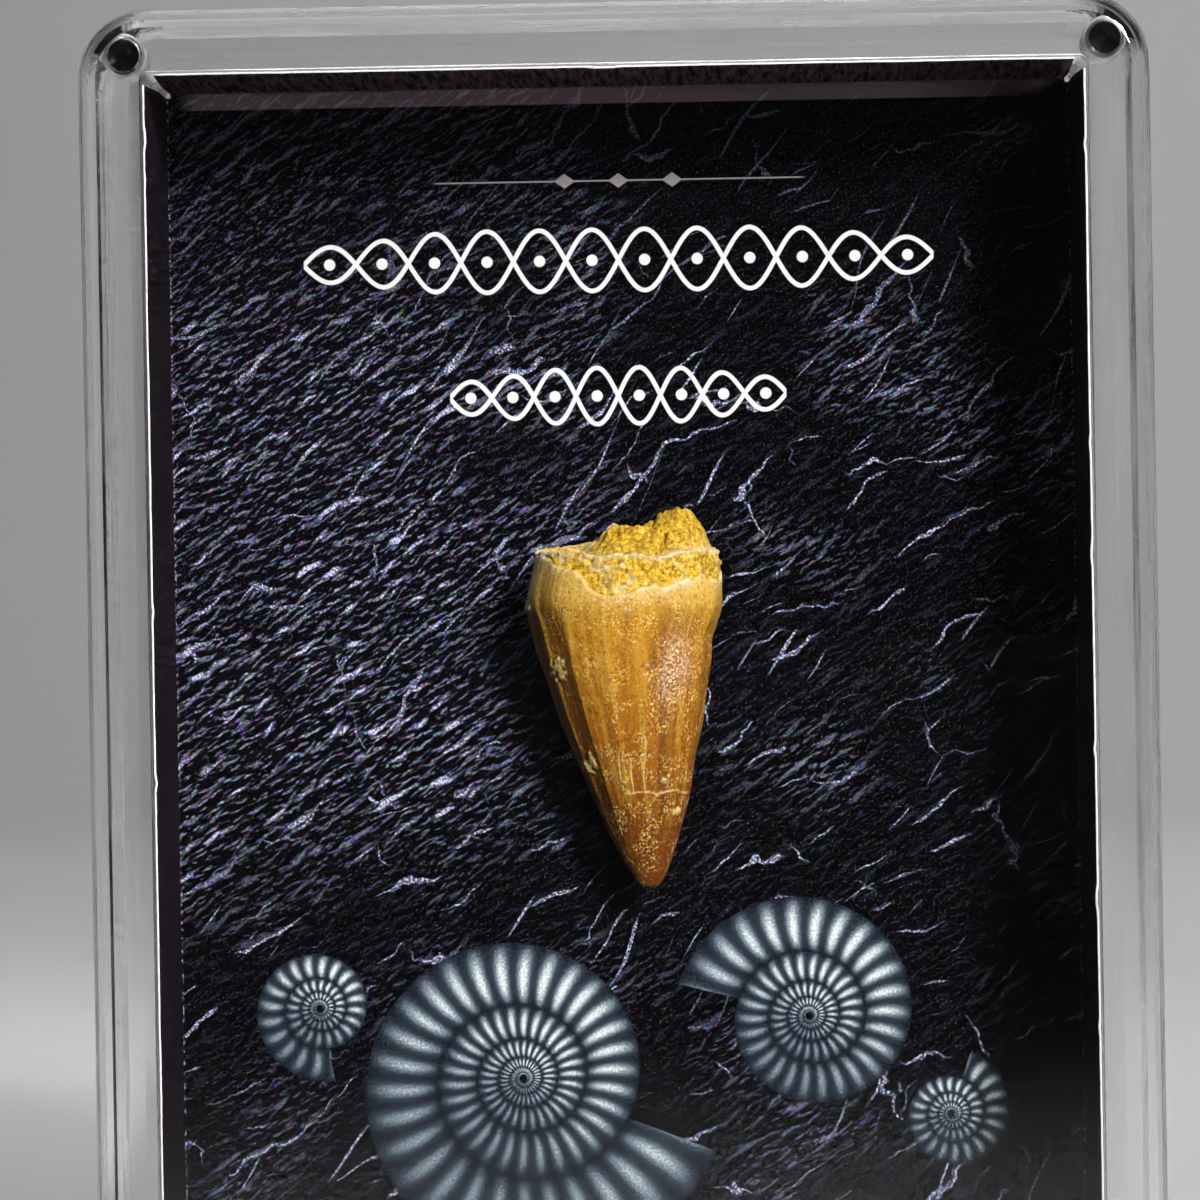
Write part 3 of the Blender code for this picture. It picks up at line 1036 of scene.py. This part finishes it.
    def dress(self) -> None:
        """Place both covers in clear acrylic: polished where a face looks along Y, and machined on the walls."""
        sheets = [self.finish.sheet(walls) for walls in (False, True)]
        for half, node in ((Half.FRONT, "front_cover"), (Half.BACK, "back_cover")):
            mesh = self.build(half)
            for sheet in sheets:
                mesh.materials.append(sheet.material)
            normals = np.empty(len(mesh.polygons) * 3, np.float32)
            mesh.polygons.foreach_get("normal", normals)
            walls = np.abs(normals.reshape(-1, 3)[:, 1]) < self.wall_limit
            mesh.polygons.foreach_set("material_index", walls.astype(np.int32))
            place(mesh, Slot.ACRYLIC, node)


@dataclass
class Magnets:
    """Small plated discs, one in each corner of each cover."""

    edge: float = 0.26
    dish: float = 0.03
    columns: int = 64
    finish: BrightNickel = field(default_factory=BrightNickel)

    def build(self, node: str) -> bpy.types.Mesh:
        """Turn one disc from its profile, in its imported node's place.

        The radius runs from 0 to the rim on one face, round a quarter-circle edge, along the side and back to 0. Each
        face is dished towards its middle.

        Args:
            node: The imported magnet.

        Returns:
            Its mesh, with each point's reach from the axis.
        """
        low, high = (np.array(corner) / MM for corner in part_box(node))
        centre, radius, half = (low + high) / 2, (high[0] - low[0]) / 2, (high[1] - low[1]) / 2
        quarter = np.linspace(0, TURN / 4, 6)
        face = np.linspace(0, radius - self.edge, 10)
        reach = np.concatenate([face[:-1], radius - self.edge * (1 - np.sin(quarter))])
        rise = np.concatenate([np.full(9, half), half - self.edge * (1 - np.cos(quarter))])
        rise = rise - self.dish * (1 - np.clip(reach / (radius - self.edge), 0, 1) ** 2)
        reach, rise = np.concatenate([reach, reach[::-1]]), np.concatenate([rise, -rise[::-1]])
        angle = np.arange(self.columns) * TURN / self.columns
        x = centre[0] + reach[:, None] * np.cos(angle)
        z = centre[2] + reach[:, None] * np.sin(angle)
        y = centre[1] + np.broadcast_to(rise[:, None], x.shape)
        mesh = closed_rings(node + "_disc", np.stack([x, y, z], -1))
        store(mesh, "reach", ring_values(np.broadcast_to(reach[:, None], x.shape)))
        return mesh

    def dress(self) -> None:
        """Place all the discs in bright nickel."""
        sheet = self.finish.sheet()
        for node in sorted(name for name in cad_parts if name.startswith("magnet_")):
            mesh = self.build(node)
            mesh.materials.append(sheet.material)
            place(mesh, Slot.NICKEL, node)


@dataclass
class CardTray:
    """One printed card, folded into a back panel and four flaps that taper towards the front window."""

    half_width: float = 36.88
    half_height: float = 48.88
    middle: float = 54.0
    face: float = 9.45
    front: float = -9.78
    paper: float = 0.18
    fold_radius: float = 0.28
    relief: float = 0.03
    taper: float = 0.42
    taper_start: float = 0.38
    spacing: float = 0.75
    print_finish: SlatePrint = field(default_factory=SlatePrint)
    flap_finish: DarkFlap = field(default_factory=DarkFlap)
    core_finish: WhiteCore = field(default_factory=WhiteCore)
    back_finish: CardBack = field(default_factory=CardBack)

    def stations(self, half: float) -> Array:
        """Places along one direction of the unfolded card: front edge, flap, fold, panel and so on across.

        Args:
            half: Where the folded card's inner face ends.

        Returns:
            The places, measured from the card's middle.
        """
        flat = half - self.fold_radius
        arc = self.fold_radius * TURN / 4
        flap = self.face - self.fold_radius - self.front
        panel = np.linspace(-flat, flat, int(2 * flat / self.spacing))
        fold = np.linspace(0, arc, 7)[1:]
        strip = np.concatenate([np.linspace(0, flap - 0.5, 12)[1:], [flap - 0.25, flap - 0.1, flap]])
        out = np.concatenate([fold, strip + arc]) + flat
        return np.concatenate([-out[::-1], panel, out])

    def folded(self, along: Array, half: float) -> tuple[Array, Array]:
        """Bend one direction of the card: straight to the fold, a quarter circle, then straight forwards.

        Args:
            along: Places from the card's middle along the unfolded card.
            half: Where the folded card's inner face ends.

        Returns:
            The place from the middle, and how far forwards of the panel.
        """
        flat = half - self.fold_radius
        arc = self.fold_radius * TURN / 4
        past = np.abs(along) - flat
        turn = np.clip(past, 0, arc) / self.fold_radius
        straight = np.clip(past - arc, 0, None)
        side = np.minimum(np.abs(along), flat) + self.fold_radius * np.sin(turn)
        forward = self.fold_radius * (1 - np.cos(turn)) + straight
        return np.sign(along) * side, forward

    def build(self) -> bpy.types.Mesh:
        """Make the printed face as one net that bends at the folds, with the corners left out.

        A flap's ends draw in by the relief at the fold and, past a share of the way forwards, by up to the taper more
        at the front. The front edges wander by a few hundredths of a millimetre, as a cut does.

        Returns:
            The open mesh, with each point's place on the unfolded card and its way forwards.
        """
        a, b = np.meshgrid(self.stations(self.half_width), self.stations(self.half_height), indexing="ij")
        side, side_forward = self.folded(a, self.half_width)
        up, up_forward = self.folded(b, self.half_height)
        flap_a, flap_b = side_forward > 1e-6, up_forward > 1e-6
        deep = self.face - self.front
        draw_b, draw_a = (
            self.relief + self.taper * np.clip((way / deep - self.taper_start) / (1 - self.taper_start), 0, 1)
            for way in (side_forward, up_forward)
        )
        ends_b = 1 - draw_b / self.half_height * flap_a
        ends_a = 1 - draw_a / self.half_width * flap_b
        x = side * np.where(flap_b, ends_a, 1)
        z = up * np.where(flap_a, ends_b, 1)
        forward = side_forward + up_forward
        net = np.stack([a, b, np.zeros_like(a)], -1)
        ragged = (0.04 * noise(net, 1.1, 5) + 0.05 * noise(net, 6.0, 6)) * ease(forward, deep - 0.5, deep)
        burr = 0.12 * ease(noise(net, 1.7, 8), 0.62, 0.9) * ease(forward, deep - 0.3, deep)
        y = np.maximum(self.face - forward - ragged * 0.4, self.front)
        x = x - np.sign(a) * (ragged * 0.35 + burr) * flap_a
        z = z - np.sign(b) * (ragged * 0.35 + burr) * flap_b
        rows, columns = a.shape
        keep = ~(flap_a & flap_b)
        corner = np.arange(rows * columns).reshape(rows, columns)
        quads = np.stack([corner[:-1, :-1], corner[1:, :-1], corner[1:, 1:], corner[:-1, 1:]], -1)
        whole = keep[:-1, :-1] & keep[1:, :-1] & keep[1:, 1:] & keep[:-1, 1:]
        quads = quads[whole]
        used, renumbered = np.unique(quads, return_inverse=True)
        points = np.stack([x, y, z + self.middle], -1).reshape(-1, 3)[used]
        mesh = bpy.data.meshes.new("printed_card_tray")
        mesh.from_pydata((points * MM).tolist(), [], renumbered.reshape(-1, 4).tolist())
        mesh.shade_smooth()
        run = np.where(flap_a, b, a)
        for name, values in (("net_across", a), ("net_up", b), ("forward", forward), ("run", run)):
            store(mesh, name, values.ravel()[used])
        on_flap = forward.ravel()[quads].mean(-1) > self.fold_radius
        mesh.polygons.foreach_set("material_index", on_flap.astype(np.int32))
        return mesh

    def dress(self) -> bpy.types.Object:
        """Give the card its thickness, print, white cut edge and plain back.

        The panel has the first material and the flaps the second. The card's thickness adds two to them for the
        back, and four for the cut edge, which the last material stands for in both cases.

        Returns:
            The card.
        """
        mesh = self.build()
        back = self.back_finish.sheet().material
        for material in (self.print_finish.sheet().material, self.flap_finish.sheet().material, back, back):
            mesh.materials.append(material)
        mesh.materials.append(self.core_finish.sheet().material)
        tray = place(mesh, Slot.CARD, "card_tray")
        paper = tray.modifiers.new("Paper", "SOLIDIFY")
        paper.thickness = self.paper * MM
        paper.offset = -1
        paper.material_offset = 2
        paper.material_offset_rim = 4
        return tray


@dataclass
class Tooth:
    """The fossil: a fluted crown that hangs tip down, its broken rim, and the sandy matrix over it."""

    tip: tuple[float, float, float] = (1.65, 4.4, 37.5)
    back: float = 8.35
    crown_height: float = 27.4
    widest_height: float = 22.9
    half_width: float = 7.9
    depth_share: float = 0.78
    base_lean: float = 1.65
    swell_power: float = 0.66
    tip_bluntness: float = 0.5
    tip_round: float = 0.45
    rim_pull_in: float = 0.1
    rim_shift: float = 0.45
    flutes: int = 14
    flute_depth: float = 0.024
    ledge_depth: float = 0.08
    pit_depth: float = 0.55
    enamel_height: float = 24.35
    columns: int = 320
    rows: tuple[int, int, int, int, int] = (190, 6, 30, 6, 66)
    finish: FossilTooth = field(default_factory=FossilTooth)

    def circle(self, angle: Array, height: Array | float = 0.0) -> Array:
        """A place on a drum round the tooth, for patterns that run along it with no seam."""
        ring = [self.half_width * np.cos(angle), self.half_width * np.sin(angle)]
        return np.stack(np.broadcast_arrays(*ring, height), -1)

    def enamel_edge(self, angle: Array) -> Array:
        """Height above the tip at which the enamel has broken away: sines, a flake, a rise and fine teeth.

        Args:
            angle: Round the tooth, 0 at the right and minus a quarter turn at the front.

        Returns:
            The height at each angle.
        """
        teeth = 0.22 * np.sin(5 * angle + 0.4) + 0.2 * np.sin(9 * angle + 1.9) + 0.06 * np.sin(17 * angle)
        fine = 0.30 * noise(self.circle(angle), 1.3, 12) + 0.14 * noise(self.circle(angle), 0.4, 13)
        flake = 2.7 * ease(np.abs(angle), math.radians(105), math.radians(160))
        rise = 0.7 * (1 - ease(np.abs(angle), math.radians(30), math.radians(65)))
        return self.enamel_height + teeth + fine + flake + rise

    def rim_height(self, angle: Array) -> Array:
        """Height above the tip of the broken rim, lowest in the middle of the front and highest at the back left.

        Args:
            angle: Round the tooth.

        Returns:
            The height at each angle.
        """
        front_dip = 0.45 * bump(angle, math.radians(-86), 0.45)
        back_rise = 0.55 * bump(angle, math.radians(125), 0.7)
        fine = 0.14 * noise(self.circle(angle), 1.1, 15) + 0.08 * noise(self.circle(angle), 0.4, 16)
        return self.crown_height + back_rise - front_dip + 0.1 * np.sin(7 * angle) + fine

    def crown_radius(self, height: Array, angle: Array) -> Array:
        """Half width of the crown.

        A power of the height, less a share for the pull-in at the rim, each flute (the size of a sine round the
        crown), the left facet, the waist and the ledge over the enamel's edge, and more at the keel.

        Args:
            height: Above the tip.
            angle: Round the tooth, 0 at the right and minus a quarter turn at the front.

        Returns:
            The radius of each point.
        """
        blunt = self.tip_bluntness
        swell = np.minimum((height + blunt) / (self.widest_height + blunt), 1.0) ** self.swell_power
        tip = np.sqrt(np.clip(1 - np.clip(1 - height / self.tip_round, 0, None) ** 2, 0, None))
        pull_in = self.rim_pull_in - 0.06 * np.clip(-np.cos(angle), 0, None)
        pull_in = pull_in * ease(height, self.widest_height, self.crown_height + 1.5)
        along = height / self.widest_height
        body = ease(along, 0.05, 0.35) * (1 - ease(along, 0.9, 1.08))
        flute = self.flute_depth * np.abs(np.sin(self.flutes * angle / 2)) * body
        facet = 0.03 * bump(angle, math.radians(-147), 0.3) - 0.01 * bump(angle, math.radians(-118), 0.12)
        keel = 0.012 * bump(np.cos(angle), -1.0, 0.06) * body
        waist = 0.045 * bump(height, 20.2, 1.3) * np.clip(np.cos(angle), 0, None)
        ledge = self.ledge_depth * (0.2 + 0.8 * np.abs(np.sin(angle)))
        ledge = ledge * ease(height - self.enamel_edge(angle), 0.0, 0.16)
        return self.half_width * swell * tip * (1 - pull_in - flute - facet * body + keel - waist - ledge)

    def crown_point(self, height: Array, angle: Array) -> Array:
        """A point on the crown's side: an oval of the crown's radius round an axis that leans towards the tip.

        Args:
            height: Above the tip.
            angle: Round the tooth.

        Returns:
            The points.
        """
        radius = self.crown_radius(height, angle)
        lean = self.base_lean * (ease(height, -2, 21) - ease(np.array(0.0), -2, 21))
        shift = self.rim_shift * ease(height, self.widest_height, self.crown_height)
        base_y = self.back - self.depth_share * self.half_width + 0.35
        centre_y = self.tip[1] + (base_y - self.tip[1]) * ease(height / self.widest_height, -0.2, 1.0)
        x = self.tip[0] - lean + shift + radius * np.cos(angle)
        y = centre_y + self.depth_share * radius * np.sin(angle)
        return np.stack(np.broadcast_arrays(x, y, self.tip[2] + height), -1)

    def matrix_height(self, x: Array, y: Array) -> Array:
        """Height of the sandy matrix over the rim: a slope up from the left, a shoulder, a peak and a steep drop.

        Args:
            x: Places to the right.
            y: Places to the back.

        Returns:
            The height at each place.
        """
        across = (-3.4, -2.2, -0.8, 1.4, 2.4, 3.4, 4.4, 5.2, 6.3, 6.9, 7.3)
        height = (0.0, 0.6, 1.75, 1.9, 2.2, 2.9, 3.75, 3.5, 2.3, 1.4, 0.0)
        front_slope = ease(y, self.back - 11.4, self.back - 6.5)
        back_slope = 1 - 0.8 * ease(y, self.back - 4.5, self.back)
        return np.interp(x, across, height) * front_slope * back_slope

    def heights(self, angle: Array) -> Array:
        """Height of each row of the side: dense at the enamel's edge and at the rim, sparse between.

        Args:
            angle: Round the tooth.

        Returns:
            The heights above the tip, as rows and columns.
        """
        crown, step, band, rim, _ = self.rows
        edge, top = self.enamel_edge(angle), self.rim_height(angle)
        parts = [edge * np.linspace(0, 1, crown, endpoint=False)[:, None] ** 1.25]
        parts.append(edge + 0.2 * np.linspace(0, 1, step, endpoint=False)[:, None])
        parts.append(edge + 0.2 + (top - 0.12 - edge - 0.2) * np.linspace(0, 1, band, endpoint=False)[:, None])
        parts.append(top - 0.12 + 0.12 * np.linspace(0, 1, rim)[:, None])
        return np.concatenate(parts)

    def build(self) -> bpy.types.Mesh:
        """Make the tooth as rings from the tip up its side, over the rim and in to the middle of the top.

        The side's points move out along their angle by the relief, and the top's points move up by the matrix's
        height less a hollow behind the rim. Angles crowd a little at the front.

        Returns:
            The mesh, with the numbers that its finish reads.
        """
        turn = np.linspace(-math.pi, math.pi, self.columns, endpoint=False)
        angle = (turn - 0.35 * np.sin(turn) - TURN / 4)[None, :]
        angle = (angle + math.pi) % TURN - math.pi
        height = self.heights(angle)
        angle = np.broadcast_to(angle, height.shape)
        side = self.crown_point(height, angle)
        over = ease(height - self.enamel_edge(angle), 0.02, 0.14)
        outward = np.stack([np.cos(angle), np.sin(angle) * self.depth_share, np.zeros_like(angle)], -1)
        side = side + outward * self.side_relief(side, height, angle, over)[..., None]

        inward = (np.linspace(0, 1, self.rows[-1] + 1)[1:, None]) ** 1.1
        rim, rim_angle = side[-1:], angle[-1:]
        middle = np.array([self.rim_shift, self.back - 5.6, self.tip[2] + self.crown_height])
        top = rim + (middle - rim) * inward[..., None]
        hollow = 0.5 * ease(inward, 0.05, 0.2) * (1 - ease(inward, 0.3, 0.7))
        lift = self.matrix_height(top[..., 0], top[..., 1]) * ease(inward, 0.02, 0.18) - hollow
        crumbs = 0.30 * noise(top, 1.1, 21) + 0.22 * noise(top, 0.55, 22) + 0.13 * noise(top, 0.25, 23)
        pits = self.pit_depth * ease(noise(top, 0.8, 24), 0.5, 0.8)
        top[..., 2] += lift + (crumbs - pits) * ease(inward, 0.03, 0.12) * (1 - ease(inward, 0.97, 1.0))
        top[-1] = top[-1, 0]

        rings = np.concatenate([side, top])
        rings[..., 1] = np.minimum(rings[..., 1], self.back)
        mesh = closed_rings("fossil_tooth", rings)
        angles = np.concatenate([angle, np.broadcast_to(rim_angle, top.shape[:2])])
        above = rings[..., 2] - self.tip[2]
        band = np.concatenate([over, np.ones(top.shape[:2])])
        lip = np.concatenate([bump(height, 0, 1) * 0, bump(np.broadcast_to(inward, top.shape[:2]), 0.0, 0.07)])
        for name, values in self.marks(rings, above, angles, band, lip).items():
            store(mesh, name, ring_values(values))
        return mesh

    def side_relief(self, points: Array, height: Array, angle: Array, over: Array) -> Array:
        """How far the side's points move out.

        Long low waves, fine lines that run along the crown, and scattered pits on the enamel; coarse and fine
        grains on the sandy band; a raised spot at each deposit.

        Args:
            points: Places before the relief.
            height: Above the tip.
            angle: Round the tooth.
            over: 0 on the enamel and 1 above its edge.

        Returns:
            Millimetres outwards.
        """
        body = ease(height, 0.6, 5)
        waves = 0.11 * noise(points, 3.2, 31) * body
        lines = 0.030 * noise(self.circle(angle, height * 0.06), 0.55, 32) * body
        lines = lines + 0.014 * noise(self.circle(angle, height * 0.12), 0.25, 33) * body
        pits = -0.05 * ease(noise(points, 0.42, 34), 0.55, 0.85) * body
        sand = 0.20 * noise(points, 0.9, 35) + 0.15 * noise(points, 0.42, 36) + 0.08 * noise(points, 0.22, 37)
        lip = 0.07 * bump(height - self.rim_height(angle), 0.0, 0.25)
        spots = self.deposits(points, height, angle)
        return waves + (lines + pits) * (1 - over) + (sand + lip) * over + 0.16 * spots * (1 - over)

    def deposits(self, points: Array, height: Array, angle: Array) -> Array:
        """Where crusts of pale sediment cling to the front, each a ragged spot at a place across and up.

        Args:
            points: Places on the tooth.
            height: Above the tip.
            angle: Round the tooth.

        Returns:
            1 on a crust and 0 off it.
        """
        total = np.zeros(height.shape)
        for x, up, wide, tall in (
            (-5.3, 17.9, 0.50, 0.95),
            (-3.0, 10.1, 0.42, 0.75),
            (-0.3, 8.7, 0.45, 0.35),
            (3.1, 8.9, 0.40, 0.38),
            (3.9, 6.3, 0.34, 0.36),
            (-7.9, 22.9, 0.45, 0.40),
        ):
            far = ((points[..., 0] - x) / wide) ** 2 + ((height - up) / tall) ** 2
            total = np.maximum(total, np.exp(-far))
        ragged = 0.55 * noise(points, 0.5, 41) + 0.55 * noise(points, 0.24, 42)
        return ease(total + ragged * (total > 0.05), 0.40, 0.85) * (1 - ease(np.sin(angle), -0.1, 0.3))

    def marks(self, points: Array, height: Array, angle: Array, band: Array, lip: Array) -> dict[str, Array]:
        """Numbers that the finish reads.

        Args:
            points: The finished places.
            height: Above the tip.
            angle: Round the tooth.
            band: 0 on the enamel and 1 on the matrix.
            lip: 1 at the rim's inner edge, falling inwards.

        Returns:
            For each name, one number a point: height, band, pale broken edges, dark and light stripes along the
            crown with a painted shade down the left facet, cracks and deposits, and the rough patch.
        """
        edge, top = self.enamel_edge(angle), self.rim_height(angle)
        side = (lip == 0) * 1.0
        below = np.clip(edge - height, 0, None)
        drum = self.circle(angle)
        chalk = ease(noise(drum, 2.2, 58) + 0.5 * noise(drum, 0.7, 59), -0.45, 0.55)
        pale = np.exp(-below / (0.50 + 0.35 * noise(drum, 1.4, 51))) * (1 - band) * (0.25 + 0.75 * chalk)
        crystals = 0.6 * ease(noise(points, 0.6, 60) + 0.4 * noise(points, 0.3, 61), 0.2, 0.8) * side * band
        rim = bump(height - top, 0.0, 0.26) * side + lip * (0.5 + 0.5 * chalk)
        left_wall = ease(-np.cos(angle), 0.90, 0.985) * ease(height, 21.5, 24.0)
        pale = np.clip(pale + crystals + rim * 0.9 + left_wall * 0.5, 0, 1)
        front = 1 - ease(np.sin(angle), -0.1, 0.3)
        wander = angle + 0.025 * noise(self.circle(angle, height), 3.0, 52)
        flutes = np.abs(np.sin(self.flutes * wander / 2)) ** 2
        uneven = noise(self.circle(wander), 1.2, 53) + 0.9 * noise(self.circle(wander, height * 0.1), 0.45, 54)
        stripe = (0.5 * flutes - 0.25 + 0.95 * uneven) * ease(height, 2, 9) * (1 - 0.8 * ease(height, 21, 25))
        reach = 0.34 + 0.30 * (1 - ease(height, 6, 20))
        # Painted shade: the left facet darkens, and this shade joins the stripes.
        painted_shade = 1.15 * bump(angle, math.radians(-146), reach) * (1 - 0.5 * ease(height, 19, 24))
        stripe = np.clip(stripe + painted_shade, -1, 1)
        across = points[..., 0]
        line = 8.0 + 0.22 * noise(points, 1.3, 55) + 0.1 * noise(points, 0.4, 56) - 0.05 * (across - 2.5)
        crack = bump(height, 0, 1) * 0 + np.exp(-(((height - line) / 0.075) ** 2))
        crack = crack * ease(across, -0.3, 0.1) * (1 - ease(across, 4.8, 5.1))
        for x, low, high, lean in ((-0.25, 8.0, 11.6, -0.12), (0.55, 8.0, 10.9, -0.05), (1.45, 8.0, 13.6, 0.02)):
            path = x + lean * (height - low) + 0.12 * noise(points * np.array([0.0, 0.0, 1.0]), 0.9, 57)
            thin = np.exp(-(((across - path) / 0.05) ** 2)) * ease(height, low, low + 0.3)
            crack = np.maximum(crack, 0.8 * thin * (1 - ease(height, high - 1.0, high)))
        mark = np.clip(crack + 1.2 * self.deposits(points, height, angle), 0, 1) * front * (1 - band)
        patch = np.exp(-(((across - 4.1 + 0.12 * (18.2 - height)) / 1.0) ** 2) - ((height - 18.0) / 2.3) ** 2)
        return {
            "height": height,
            "band": band,
            "pale": pale,
            "stripe": stripe,
            "mark": mark,
            "patch": np.clip(patch * front * 1.2, 0, 1),
        }

    def dress(self) -> None:
        """Place the tooth in its own finish."""
        mesh = self.build()
        mesh.materials.append(self.finish.sheet().material)
        place(mesh, Slot.FOSSIL, "tooth")


@dataclass
class Pad:
    """The hidden pad between the tooth and the card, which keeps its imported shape."""

    finish: MountingPutty = field(default_factory=MountingPutty)

    def dress(self) -> None:
        """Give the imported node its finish."""
        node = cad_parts["mounting_pad"]
        node.data.materials.clear()
        node.data.materials.append(self.finish.sheet().material)
        LOG.info("mounting_pad: packed shape kept")


# The studio


@dataclass(frozen=True)
class Softbox:
    """A square lamp whose grid keeps its light within some degrees."""

    name: str
    place: tuple[float, float, float]
    size: float
    watts: float
    degrees: float = 180.0
    target: tuple[float, float, float] = (0.0, 0.0, 0.06)

    def hang(self) -> None:
        """Put the lamp in the scene, turned to its target."""
        lamp = bpy.data.lights.new(self.name, "AREA")
        lamp.size = self.size
        lamp.energy = self.watts
        lamp.spread = math.radians(self.degrees)
        holder = bpy.data.objects.new(self.name, lamp)
        bpy.context.scene.collection.objects.link(holder)
        holder.location = self.place
        way = Vector(self.target) - Vector(self.place)
        holder.rotation_mode = "QUATERNION"
        holder.rotation_quaternion = way.to_track_quat("-Z", "Y")


@dataclass
class Studio:
    """Seamless pale paper, soft lamps, a dim surround and the photograph's camera."""

    camera_place: tuple[float, float, float] = (6.72, -467.0, 65.41)
    pitch: float = -0.543
    yaw: float = -1.060
    roll: float = 0.984
    lens: float = 174.3
    sensor: float = 36.0
    surround: float = 0.02
    ceiling: float = 0.30
    ceiling_start: float = 0.26
    ceiling_full: float = 0.71
    lamps: tuple[Softbox, ...] = (
        Softbox("key_lamp", (0.30, -0.62, 0.33), 0.15, 0.235, 25.0),
        Softbox("fill_lamp", (-0.07, -0.62, 0.50), 0.36, 0.050, 25.0),
        Softbox("pocket_lamp", (0.30, -0.62, 0.06), 0.25, 0.075, 25.0),
        Softbox("top_lamp", (0.05, 0.22, 0.75), 0.30, 0.22, 50.0, (0.0, 0.16, 0.0)),
        Softbox("backdrop_lamp", (0.25, 0.35, 0.75), 0.50, 7.2, 180.0, (0.1, 1.4, 0.3)),
    )
    finish: StudioGrey = field(default_factory=StudioGrey)

    def paper(self) -> None:
        """Lay the seamless paper: a floor that bends up into a wall, carried straight across.

        The profile is flat to the bend, then a quarter circle, then upright.
        """
        bend, start, top, half = 500.0, 900.0, 2600.0, 3500.0
        quarter = np.linspace(0, TURN / 4, 25)
        y = np.concatenate([[-3500.0], start + bend * np.sin(quarter), [start + bend]])
        z = np.concatenate([[0.0], bend * (1 - np.cos(quarter)), [top]])
        left = np.stack([np.full_like(y, -half), y, z], -1)
        right = left * np.array([-1, 1, 1])
        rows = np.arange(len(y) - 1)
        quads = np.stack([rows, rows + len(y), rows + len(y) + 1, rows + 1], -1)
        mesh = bpy.data.meshes.new("studio_paper")
        mesh.from_pydata((np.concatenate([left, right]) * MM).tolist(), [], quads.tolist())
        mesh.shade_smooth()
        mesh.materials.append(self.finish.sheet().material)
        paper = bpy.data.objects.new("studio_paper", mesh)
        bpy.context.scene.collection.objects.link(paper)

    def camera(self) -> None:
        """Stand the camera where the photograph was taken from."""
        data = bpy.data.cameras.new("photo_camera")
        data.sensor_width = self.sensor
        data.lens = self.lens
        data.clip_start, data.clip_end = 0.01, 20.0
        holder = bpy.data.objects.new("photo_camera", data)
        bpy.context.scene.collection.objects.link(holder)
        holder.location = Vector(self.camera_place) * MM
        pitch, yaw = math.radians(self.pitch), math.radians(self.yaw)
        forward = Vector((math.sin(yaw) * math.cos(pitch), math.cos(yaw) * math.cos(pitch), math.sin(pitch)))
        holder.rotation_mode = "QUATERNION"
        tilt = Quaternion((0, 0, 1), math.radians(-self.roll))
        holder.rotation_quaternion = forward.to_track_quat("-Z", "Y") @ tilt
        bpy.context.scene.camera = holder

    def surroundings(self) -> None:
        """Show the clear case a dim room and a pale ceiling, which light no dull surface.

        The ceiling starts where the way up is the sine of 15 degrees, and is full at that of 45.
        """
        world = bpy.data.worlds.new("studio_room")
        world.use_nodes = True
        tree = world.node_tree
        way = tree.nodes.new("ShaderNodeTexCoord")
        split = tree.nodes.new("ShaderNodeSeparateXYZ")
        tree.links.new(way.outputs["Generated"], split.inputs[0])
        rise = tree.nodes.new("ShaderNodeMapRange")
        rise.interpolation_type = "SMOOTHSTEP"
        tree.links.new(split.outputs[2], rise.inputs["Value"])
        inputs = {"From Min": self.ceiling_start, "From Max": self.ceiling_full}
        inputs |= {"To Min": self.surround, "To Max": self.ceiling}
        for name, given in inputs.items():
            rise.inputs[name].default_value = given
        room = tree.nodes["Background"]
        room.inputs[0].default_value = (1.0, 1.0, 1.0, 1.0)
        tree.links.new(rise.outputs[0], room.inputs[1])
        bpy.context.scene.world = world
        world.cycles_visibility.diffuse = False

    def exposure(self) -> None:
        """Show light as it is, and follow it for as many bounces as the case's walls and pocket need."""
        bpy.context.scene.view_settings.view_transform = "Standard"
        light = bpy.context.scene.cycles
        light.max_bounces, light.diffuse_bounces, light.glossy_bounces = 8, 1, 2
        light.transmission_bounces, light.transparent_max_bounces = 8, 12
        light.caustics_reflective = light.caustics_refractive = False
        light.adaptive_threshold, light.adaptive_min_samples = 0.08, 12

    def build(self) -> None:
        """Set up the whole studio."""
        self.paper()
        self.camera()
        self.surroundings()
        self.exposure()
        for lamp in self.lamps:
            lamp.hang()

    @staticmethod
    def keep_to(name: str, *pieces: bpy.types.Object) -> None:
        """Let one lamp light these pieces alone, so that it draws no line on the case's edges.

        Args:
            name: The lamp's name.
            pieces: What it lights.
        """
        lit = bpy.data.collections.new(name + "_pieces")
        for piece in pieces:
            lit.objects.link(piece)
        bpy.data.objects[name].light_linking.receiver_collection = lit


def main() -> None:
    """Build and dress every piece."""
    logging.basicConfig(level=logging.INFO, format="%(name)s: %(message)s")
    studio = Studio()
    studio.build()
    Case().dress()
    Magnets().dress()
    tray = CardTray().dress()
    Tooth().dress()
    Pad().dress()
    studio.keep_to("pocket_lamp", tray)


if __name__ == "__main__":
    main()
